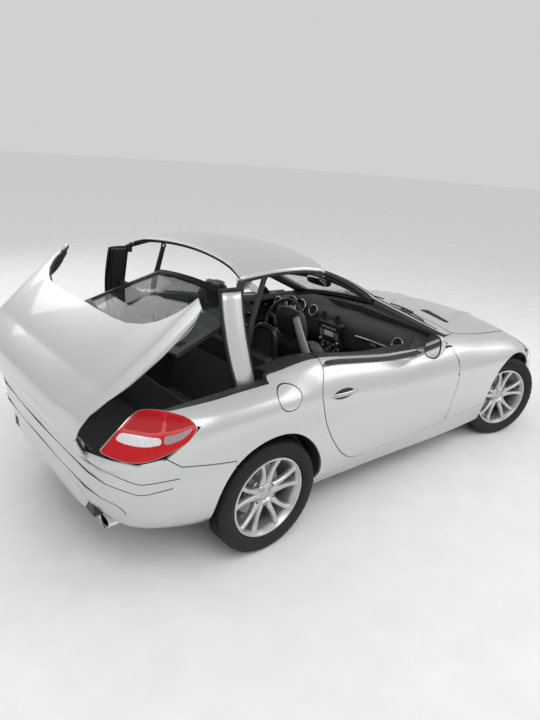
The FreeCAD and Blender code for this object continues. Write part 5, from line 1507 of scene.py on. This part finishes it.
def dashPlace(index, y):
    # Profile point with the hood over the gauges, the mound in the middle and the ends led back
    x, z = dashProfile[index]
    hood = ease(1 - abs(y - dash["hoodMiddle"]) / dash["hoodHalf"])
    middle = ease(1 - abs(y) / 190)
    if 2 <= index <= 8:
        share = (0.15, 0.55, 0.9, 1.0, 0.95, 0.72, 0.3)[index - 2]
        z += share * (hood * dash["hoodLift"] + middle * dash["mound"])
        x -= share * hood * (18 if index > 4 else 0)
    ends = ease((abs(y) - 560) / 130)
    return x + 26 * ends * (1 if index < 10 else 0), y, z - 10 * ends


rows = [[dashPlace(index, -dash["half"] + 2 * dash["half"] * k / 44) for index in range(len(dashProfile))]
        for k in range(45)]
loftPiece("dashSkin", rows, "dash", "body", closed=True, caps=True, crease=70, nodes=("dashboard",))


def discAxes(normal):
    # Unit vectors along a direction and two square to it
    axis = Vector(normal).normalized()
    first = axis.orthogonal().normalized()
    if abs(axis.z) < 0.9:
        first = Vector((0, 0, 1)).cross(axis).normalized()
    return axis, first, axis.cross(first)


def ringPiece(name, centre, normal, radius, thick, finish, body="body"):
    # Round bezel square to a direction
    axis, first, second = discAxes(normal)
    points = [tuple(Vector(centre) + first * radius * c + second * radius * q) for c, q in circle(28)]
    tubePiece(name, points, thick, finish, body, cyclic=True)


def discPiece(name, centre, normal, radius, finish, dish):
    # Dished disc square to a direction
    axis, first, second = discAxes(normal)
    rings = [[tuple(Vector(centre) + first * radius * share * c + second * radius * share * q + axis * lift)
              for c, q in circle(32)]
             for share, lift in ((0.02, -dish), (0.55, -dish * 0.7), (0.92, -dish * 0.1), (1.0, 0.0), (1.0, -6.0))]
    loftPiece(name, rings, finish, "body", crease=50)


look = Vector((-0.93, 0, 0.30))
for index, y in enumerate((330, 430)):
    centre = (74, y, 880)
    tube = [[tuple(Vector(centre) + Vector((d * 0.93, r * c, r * q - d * 0.30))) for c, q in circle(32)]
            for r, d in ((50, 24), (54, 4), (54, -26), (48, -28), (47, 22))]
    loftPiece(f"gaugeTube{index}", tube, "blackPaint", "body", caps=False)
    discPiece(f"gaugeFace{index}", (90, y, 875), look, 47, "smokeFace", dish=2)
    ringPiece(f"gaugeRing{index}", (48, y, 888), look, 51, 4.0, "chrome")
    tubePiece(f"gaugeNeedle{index}", [(84, y, 877), (80, y - 18, 897), (78, y - 27, 908)], 1.4, "redLens", "body")
for index, (y, z, x) in enumerate(((195, 888, 66), (-600, 858, 66), (600, 858, 66), (62, 884, 52), (-72, 884, 52))):
    size = 40 if index < 3 else 30
    ringPiece(f"ventRing{index}", (x - 12, y, z), look, size, 4.5, "silverTrim" if index < 3 else "blackPaint")
    discPiece(f"ventBack{index}", (x - 4, y, z - 3), look, size - 2, "blackPaint", dish=10)
    for slat in (-0.55, 0.0, 0.55):
        reach = (size - 3) * math.sqrt(1 - slat * slat)
        line = [(x - deep + slat * 5, y + across, z + slat * size)
                for deep, across in ((12, -reach), (16, 0), (12, reach))]
        tubePiece(f"ventSlat{index}{int(slat * 10) + 9}", line, 2.2, "plastic", "body")

print("centre stack")
stackPlace = turnedPlace((44, -18, 742), "Y", -12)
for name, low, high, finish, edge in (("stackPanel", (-8, -118, -96), (60, 118, 112), "blackPaint", 14),
                                      ("radioFace", (-14, -100, -8), (6, 100, 58), "plastic", 5),
                                      ("radioScreen", (-17, -46, 10), (-6, 46, 50), "screenFace", 2.5)):
    boxPiece(name, low, high, finish, "body", edge=edge, where=stackPlace)
for column, y in enumerate((-84, -66, 66, 84)):
    for rowIndex in range(4):
        z = 2 + rowIndex * 14
        boxPiece(f"radioKey{column}{rowIndex}", (-18, y - 7, z - 4.5), (-8, y + 7, z + 4.5), "keyFace", "body",
                 edge=1.5, where=stackPlace, segments=2)


def addKnob(name, profile, y, height, finish, steps):
    revolvePiece(name, profile, lambda x, w, z: stackPlace(-8 - w, y + x, height + z), finish, "body", steps=steps)


for index, y in enumerate((-84, 84)):
    addKnob(f"radioKnob{index}", ((0, 20), (9, 20), (11, 17), (12, 0)), y, -24, "silverTrim", 28)
for index, y in enumerate((-60, -36, -12, 12, 36, 60)):
    for name, z, finish in (("switchKey", 70, "keyFace"), ("climateKey", -58, "keyFace" if index % 2 else "plastic")):
        boxPiece(f"{name}{index}", (-17, y - 10, z), (-8, y + 10, z + 12), finish, "body", edge=1.5, where=stackPlace,
                 segments=2)
for index, y in enumerate((-76, 0, 76)):
    addKnob(f"climateKnob{index}", ((0, 22), (16, 22), (19, 18), (20, 0)), y, -80, "plastic", 32)
    ringPiece(f"climateRing{index}", stackPlace(-26, y, -80), look, 19, 1.8, "chrome")
line = [(52, -250, 812), (44, -340, 818), (44, -450, 818), (50, -560, 812)]
tubePiece("gloveBoxTrim", line, 8, "silverTrim", "body")
for name, line in (("gloveBoxSeam", [(57, -190, 798), (53, -300, 798), (53, -560, 798), (60, -640, 786)]),
                   ("gloveBoxLow", [(66, -190, 710), (64, -300, 706), (64, -560, 706), (70, -640, 716)])):
    tubePiece(name, line, 1.8, "rubber", "body")
boxPiece("gloveBoxLatch", (46, -430, 782), (58, -380, 800), "silverTrim", "body", edge=3)

print("steering wheel")
steering = {"centre": (-85.0, 370.0, 770.0), "slope": 25.0, "radius": 178.0}
steerPlace = turnedPlace(steering["centre"], "Y", steering["slope"])
rings = []
for k in range(72):
    angle = 2 * math.pi * k / 72
    grip = 14.5 + 2.0 * max(0, math.cos(2 * angle)) ** 3
    rings.append([steerPlace(grip * 1.05 * math.cos(b), (steering["radius"] + grip * math.sin(b)) * math.cos(angle),
                             (steering["radius"] + grip * math.sin(b)) * math.sin(angle))
                  for b in [2 * math.pi * n / 14 for n in range(14)]])
rings.append(rings[0])
loftPiece("steeringRim", rings, "leather", "steering_wheel", caps=False, nodes=("steering_wheel",))
pad = []
for x, k in ((26, 0.55), (22, 0.8), (0, 0.95), (-16, 1.0), (-30, 0.93), (-40, 0.7), (-43, 0.4), (-44, 0.02)):
    ring = []
    for c, q in circle(36):
        wide, tall = 78 * k * signedPower(c, 0.7), 62 * k * signedPower(q, 0.75)
        ring.append(steerPlace(x, wide * (1 + 0.12 * tall / 62), tall))
    pad.append(ring)
loftPiece("steeringPad", pad, "dash", "steering_wheel", crease=60)
ringPiece("steeringCap", steerPlace(-43.5, 0, 2), (-0.9, 0, 0.42), 26, 1.6, "silverTrim", "steering_wheel")
for index, turn in enumerate((8, 172, 250, 290)):
    a = math.radians(turn)
    c, q = math.cos(a), math.sin(a)
    rings = []
    for r, wide, x in ((60, 24, -12), (100, 17, -14), (140, 13, -9), (170, 14, -2)):
        rings.append([steerPlace(x + t, c * r - q * wide * s, q * r + c * wide * s)
                      for s, t in ((-1, 5), (-0.8, -3), (0.8, -3), (1, 5), (0, 9))])
    loftPiece(f"steeringSpoke{index}", rings, "silverTrim" if index > 1 else "plastic", "steering_wheel", edge=1.5)
for index, y in enumerate((1, -1)):
    line = [(-30, 370 + y * 30, 740), (-22, 370 + y * 90, 752), (-24, 370 + y * 150, 772)]
    tubePiece(f"columnStalk{index}", line, 7, "plastic", "body")
rings = []
for x, r in ((-46, 30), (-20, 44), (60, 52), (120, 60)):
    slope = math.tan(math.radians(steering["slope"]))
    rings.append([(x, 370 + r * c, 745 - (x + 46) * slope * 0.55 + r * 0.8 * q) for c, q in circle(24)])
loftPiece("columnShroud", rings, "dash", "body")

print("console")
consoleLine = ((-562, 402), (-562, 604), (-500, 620), (-420, 628), (-330, 616), (-296, 590), (-282, 530), (-200, 556),
               (20, 568), (58, 640), (62, 402))
consoleRows = []
for y, k in ((-115, 0.0), (-112, 1.0), (-96, 1.6), (0, 1.8), (96, 1.6), (112, 1.0), (115, 0.0)):
    consoleRows.append([(x, y, z + 6 * k - 6) for x, z in consoleLine])
loftPiece("consoleSkin", consoleRows, "dash", "body", crease=45, edge=4, nodes=("console",))
boxPiece("armRest", (-555, -92, 612), (-318, 92, 646), "leather", "body", edge=16)
boxPiece("shiftPlate", (-240, -70, 552), (-30, 70, 566), "silverTrim", "body", edge=5)
rings = []
for z, r in ((560, 44), (575, 36), (595, 24), (612, 15), (640, 11), (646, 14), (655, 22), (668, 26), (682, 22),
             (690, 10), (691, 1)):
    rings.append([(-130 + r * (1.1 if z < 640 else 1) * c, r * q, z - 22) for c, q in circle(24)])
loftPiece("shiftLever", rings, "leather", "body")
ringPiece("shiftRing", (-130, 0, 626), (0, 0, 1), 13, 2.5, "chrome")
for index, x in enumerate((-215, -190, -60, -40)):
    boxPiece(f"consoleKey{index}", (x, -52, 562), (x + 16, -18, 571), "keyFace", "body", edge=2, segments=2)
    boxPiece(f"consoleKeyLeft{index}", (x, 18, 562), (x + 16, 52, 571), "plastic", "body", edge=2, segments=2)

print("door cards")
for sideSign, sideName in sides:
    body = "door_" + sideName
    skinPiece("doorBody" + sideName, zMarks(doorSkinLine), "plastic", sideSign, body=body, depth=0.062,
              topLevel=4.62, change=lambda x, y, z, s, t: (x, y - 16, z - (4 if t > 4 else 0)))
    rows = []
    for k in range(21):
        x = -850 + 1170 * k / 20
        s = sectionOfX(x)
        top = bodyPoint(s, 4.55)
        row = []
        for z, deep in ((top[2] - 2, 30), (top[2] - 4, 66), (top[2] - 26, 84), (760, 86), (700, 88), (690, 118),
                        (664, 122), (650, 100), (560, 92), (470, 96), (440, 116), (392, 118), (372, 92)):
            pull = ease((x + 850) / 90) * ease((320 - x) / 90)
            flare = deep if z > 705 or z < 662 else 88 + (deep - 88) * ease((x + 560) / 150) * ease((180 - x) / 120)
            row.append((x, sideSign * (866 - flare * (0.75 + 0.25 * pull)), z))
        rows.append(row)
    loftPiece("doorCard" + sideName, rows, "dash", body, closed=False, depth=8, crease=60)
    for name, line, radius in (("doorPull", [(-420, 752, 716), (-380, 738, 742), (-200, 738, 756), (-60, 738, 748),
                                             (-30, 752, 726)], 10),
                               ("doorRelease", [(60, 776, 790), (80, 764, 794), (140, 764, 800), (160, 776, 798)], 7)):
        tubePiece(name + sideName, onSide(line, sideSign), radius, "silverTrim", body)
    rings = [[(110 + r * c, sideSign * y, 520 + r * q) for c, q in circle(32)]
             for r, y in ((82, 778), (80, 766), (74, 762), (8, 766))]
    loftPiece("doorSpeaker" + sideName, rings, "plastic", body, caps=False)
    tubePiece("doorSill" + sideName, onSide([(-640, 822, 352), (-200, 832, 344), (300, 836, 338)], sideSign), 9,
              "silverTrim", "body")

print("rear of the cabin")
boxPiece("rearShelf", (-948, -458, 742), (-836, 458, 884), "dash", "body", edge=22, nodes=("bulkhead",))
boxPiece("rearPanel", (-948, -684, 226), (-930, 684, 744), "carpet", "body", edge=3)
for sideSign, sideName in sides:
    line = [(-880, y, z) for y, z in ((275, 872), (275, 975), (287, 1022), (320, 1044), (400, 1044), (435, 1022),
                                      (445, 975), (445, 872))]
    tubePiece("rollHoop" + sideName, onSide(line, sideSign), 18, "blackPaint", "body")
    rows = [[(-880 + deep, sideSign * y, z) for y, z in ((285, 876), (285, 965), (300, 1010), (326, 1032), (394, 1032),
                                                         (420, 1010), (435, 965), (435, 876))] for deep in (-9, 9)]
    loftPiece("hoopPanel" + sideName, rows, "plastic", "body", edge=4)
    strap = [(-905, 560, 930), (-890, 600, 880), (-870, 640, 700), (-850, 655, 420)]
    tubePiece("beltStrap" + sideName, onSide(strap, sideSign), 6, "insert", "body")
    boxPiece("rearTrim" + sideName, (-945, min(sideSign * 458, sideSign * 700), 745),
             (-700, max(sideSign * 458, sideSign * 700), 800), "dash", "body", edge=18)
for name, low, high, finish, edge in (("windBlocker", (-892, -268, 884), (-882, 268, 1010), "smokeFace", 3),
                                      ("floorMatLeft", (-420, 150, 226), (560, 640, 236), "carpet", 4),
                                      ("floorMatRight", (-420, -640, 226), (560, -150, 236), "carpet", 4)):
    boxPiece(name, low, high, finish, "body", edge=edge)

print("seats")
seat = {"y": 380.0, "voxel": 0.010, "pressure": 4.0, "swell": 0.014, "frames": 20}


def softRing(axis, at, middle, half):
    # Rounded block section at a spot on an axis: middle and half are in the two section directions
    ring = []
    for c, q in circle(28):
        u, v = middle[0] + half[0] * signedPower(c, 0.55), middle[1] + half[1] * signedPower(q, 0.55)
        x, y, z = {"x": (at, u, v), "y": (u, at, v), "z": (u, v, at)}[axis]
        ring.append((x, seat["y"] + y, z))
    return ring


def softPiece(name, parts, finish):
    # Closed parts joined by a voxel remesh, then filled by a short cloth run
    work = bmesh.new()
    for rings in parts:
        rows = [[work.verts.new(place(*p)) for p in ring] for ring in rings]
        for a, b in zip(rows, rows[1:]):
            for k in range(len(a)):
                work.faces.new((a[k], a[(k + 1) % len(a)], b[(k + 1) % len(a)], b[k]))
        work.faces.new(rows[0])
        work.faces.new(list(reversed(rows[-1])))
    bmesh.ops.recalc_face_normals(work, faces=work.faces)
    mesh = bpy.data.meshes.new(name)
    work.to_mesh(mesh)
    work.free()
    piece = addObject(name, mesh)
    remesh = piece.modifiers.new("remesh", "REMESH")
    remesh.mode = "VOXEL"
    remesh.voxel_size = seat["voxel"]
    smooth = piece.modifiers.new("soften", "SMOOTH")
    smooth.iterations = 3
    bakeModifiers(piece)
    rest = [v.co.copy() for v in piece.data.vertices]
    cloth = piece.modifiers.new("filling", "CLOTH")
    cloth.settings.use_pressure = True
    cloth.settings.uniform_pressure_force = seat["pressure"]
    cloth.settings.effector_weights.gravity = 0
    cloth.settings.quality = 4
    cloth.collision_settings.use_collision = False
    for frameIndex in range(1, seat["frames"] + 1):
        bpy.context.scene.frame_set(frameIndex)
    bakeModifiers(piece)
    bpy.context.scene.frame_set(1)
    for vertex, start in zip(piece.data.vertices, rest):
        move = vertex.co - start
        if move.length > seat["swell"]:
            vertex.co = start + move * (seat["swell"] / move.length)
    smoothFaces(piece.data)
    piece.data.materials.clear()
    piece.data.materials.append(finishes[finish])
    roundOff(piece)
    return piece


def bakeModifiers(piece):
    # Leaves the modified mesh as the piece's own
    view = bpy.context.evaluated_depsgraph_get()
    mesh = bpy.data.meshes.new_from_object(piece.evaluated_get(view))
    piece.modifiers.clear()
    piece.data = mesh


cushionPad = [softRing("x", x, (0, (low + high) / 2), (half, (high - low) / 2)) for x, low, high, half in (
    (-62, 424, 470, 128), (-72, 418, 482, 138), (-130, 414, 490, 142), (-300, 412, 484, 142), (-430, 410, 474, 140),
    (-462, 412, 462, 134))]
cushionFrame = [[softRing("x", x, (side * 190, (low + high) / 2), (wide, (high - low) / 2)) for x, low, high, wide in (
    (-24, 350, 462, 30), (-36, 344, 486, 38), (-110, 342, 500, 43), (-300, 342, 500, 46), (-500, 342, 490, 44),
    (-530, 350, 472, 34))] for side in (-1, 1)]
cushionFrame.append([softRing("y", y, (-40, (low + high) / 2), (24, (high - low) / 2)) for y, low, high in (
    (-210, 352, 452), (-150, 346, 470), (0, 344, 474), (150, 346, 470), (210, 352, 452))])
cushionFrame.append([softRing("z", z, (-280, 0), (220, 178)) for z in (346, 360, 404, 416)])
backPad = [softRing("z", z, (x - 12, 0), (deep, half)) for z, x, half, deep in (
    (478, -486, 126, 24), (492, -496, 136, 30), (600, -528, 140, 34), (720, -560, 142, 34), (850, -602, 138, 34),
    (930, -626, 122, 30), (946, -630, 110, 22))]
backFrame = [[softRing("z", z, (x, side * y), (deep, wide)) for z, x, deep, wide, y in (
    (452, -500, 44, 34, 188), (480, -506, 54, 42, 188), (620, -552, 60, 46, 192), (850, -618, 56, 44, 184),
    (930, -640, 48, 40, 160), (972, -656, 38, 34, 140))] for side in (-1, 1)]
backFrame.append([softRing("z", z, (x, 0), (deep, half)) for z, x, deep, half in (
    (440, -552, 34, 196), (470, -562, 40, 206), (620, -602, 44, 216), (850, -662, 42, 206), (950, -688, 34, 160),
    (985, -700, 26, 128))])
headPad = [softRing("z", z, (x, 0), (deep, half)) for z, x, deep, half in (
    (958, -682, 30, 104), (990, -690, 38, 118), (1060, -706, 40, 120), (1115, -716, 34, 108), (1136, -720, 24, 92))]
seatPieces = (("CushionInsert", [cushionPad], "insert", 0.7), ("CushionBolsters", cushionFrame, "leather", 0.75),
              ("BackInsert", [backPad], "insert", 0.7), ("BackBolsters", backFrame, "leather", 0.75),
              ("HeadRest", [headPad], "leather", 0.8))
for label, parts, finish, fill in seatPieces:
    left = softPiece("seatLeft" + label, parts, finish)
    mirrorMesh = left.data.copy()
    for vertex in mirrorMesh.vertices:
        vertex.co.y = -vertex.co.y
    mirrorMesh.flip_normals()
    right = addObject("seatRight" + label, mirrorMesh)
    roundOff(right)
    for piece, node in ((left, "seat_left"), (right, "seat_right")):
        ridePiece(piece, "body", (node,))


def seatLine(name, points, radius, finish):
    for sideSign, sideName in sides:
        tubePiece(name + sideName, [(x, sideSign * (seat["y"] + y), z) for x, y, z in points], radius, finish, "body")


band = ((-690, -50, 1136, 14), (-702, -8, 1136, 22), (-720, 38, 1120, 28), (-742, 74, 1096, 30),
        (-752, 118, 1040, 32), (-752, 158, 975, 34), (-740, 190, 905, 35), (-722, 208, 830, 34), (-690, 214, 740, 28))
for sideSign, sideName in sides:
    rings = []
    for x, y, z, wide in band:
        rings.append([(x + 13 * q * 0.8, sideSign * (seat["y"] + y + wide * c * 0.8), z + 0.45 * wide * c)
                      for c, q in circle(16)])
    loftPiece("seatBand" + sideName, rings, "insert", "body", crease=70)
for index, y in enumerate((-72, 0, 72)):
    seatLine(f"backSeam{index}", [(x + 21, y, z) for z, x in ((500, -496), (600, -528), (720, -560), (850, -602),
                                                            (930, -628))], 1.8, "leather")
    seatLine(f"cushionSeam{index}", [(x, y, z) for x, z in ((-80, 488), (-130, 494), (-300, 488), (-430, 478))], 1.8,
             "leather")
for name, y in (("seatRail", -160), ("seatRailOuter", 160)):
    seatLine(name, [(-40, y, 300), (-280, y, 296), (-500, y, 300)], 14, "blackPaint")
seatLine("seatPlinth", [(-100, 0, 322), (-280, 0, 322), (-460, 0, 322)], 26, "blackPaint")

print("floor and finishes")
bpy.ops.mesh.primitive_plane_add(size=160.0)
ground = bpy.context.object
ground.name = "studioFloor"
ground.data.materials.append(newFinish("paleFloor", colour=lighting["floor"], rough=0.85, grain=6.0))

finishOfNode = {
    "side_left": "plastic", "side_right": "plastic", "fender_left": "plastic", "fender_right": "plastic",
    "front_bumper": "plastic", "rear_bumper": "plastic", "bonnet": "plastic", "boot_lid": "plastic",
    "platform": "blackPaint", "grille": "plastic", "cowl": "plastic", "windscreen_frame": "blackPaint",
    "windscreen_glass": "glass", "dashboard": "dash", "console": "dash", "seat_left": "leather",
    "seat_right": "leather", "bulkhead": "carpet", "boot_tub": "carpet", "exhaust": "chrome", "engine": "cast",
    "front_subframe": "blackPaint", "front_structure": "blackPaint", "rear_axle": "blackPaint",
    "steering_wheel": "leather", "front_knuckle_left": "cast", "front_knuckle_right": "cast",
    "roof_panel": "blackPaint",
    "rear_pillars": "blackPaint", "main_arms": "blackPaint", "arm_bases": "blackPaint", "front_arms": "blackPaint",
    "panel_brackets": "blackPaint", "window_pivots": "blackPaint", "rear_window_frame": "plastic",
    "rear_window_glass": "darkGlass", "mirror_left": "paint", "mirror_right": "paint",
}
for corner in corners:
    finishOfNode["rim_" + corner] = "alloy"
    finishOfNode["tyre_" + corner] = "tyre"
for nodeName, finishName in finishOfNode.items():
    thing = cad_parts[nodeName]
    for materialSlot in thing.material_slots:
        materialSlot.material = finishes[finishName]
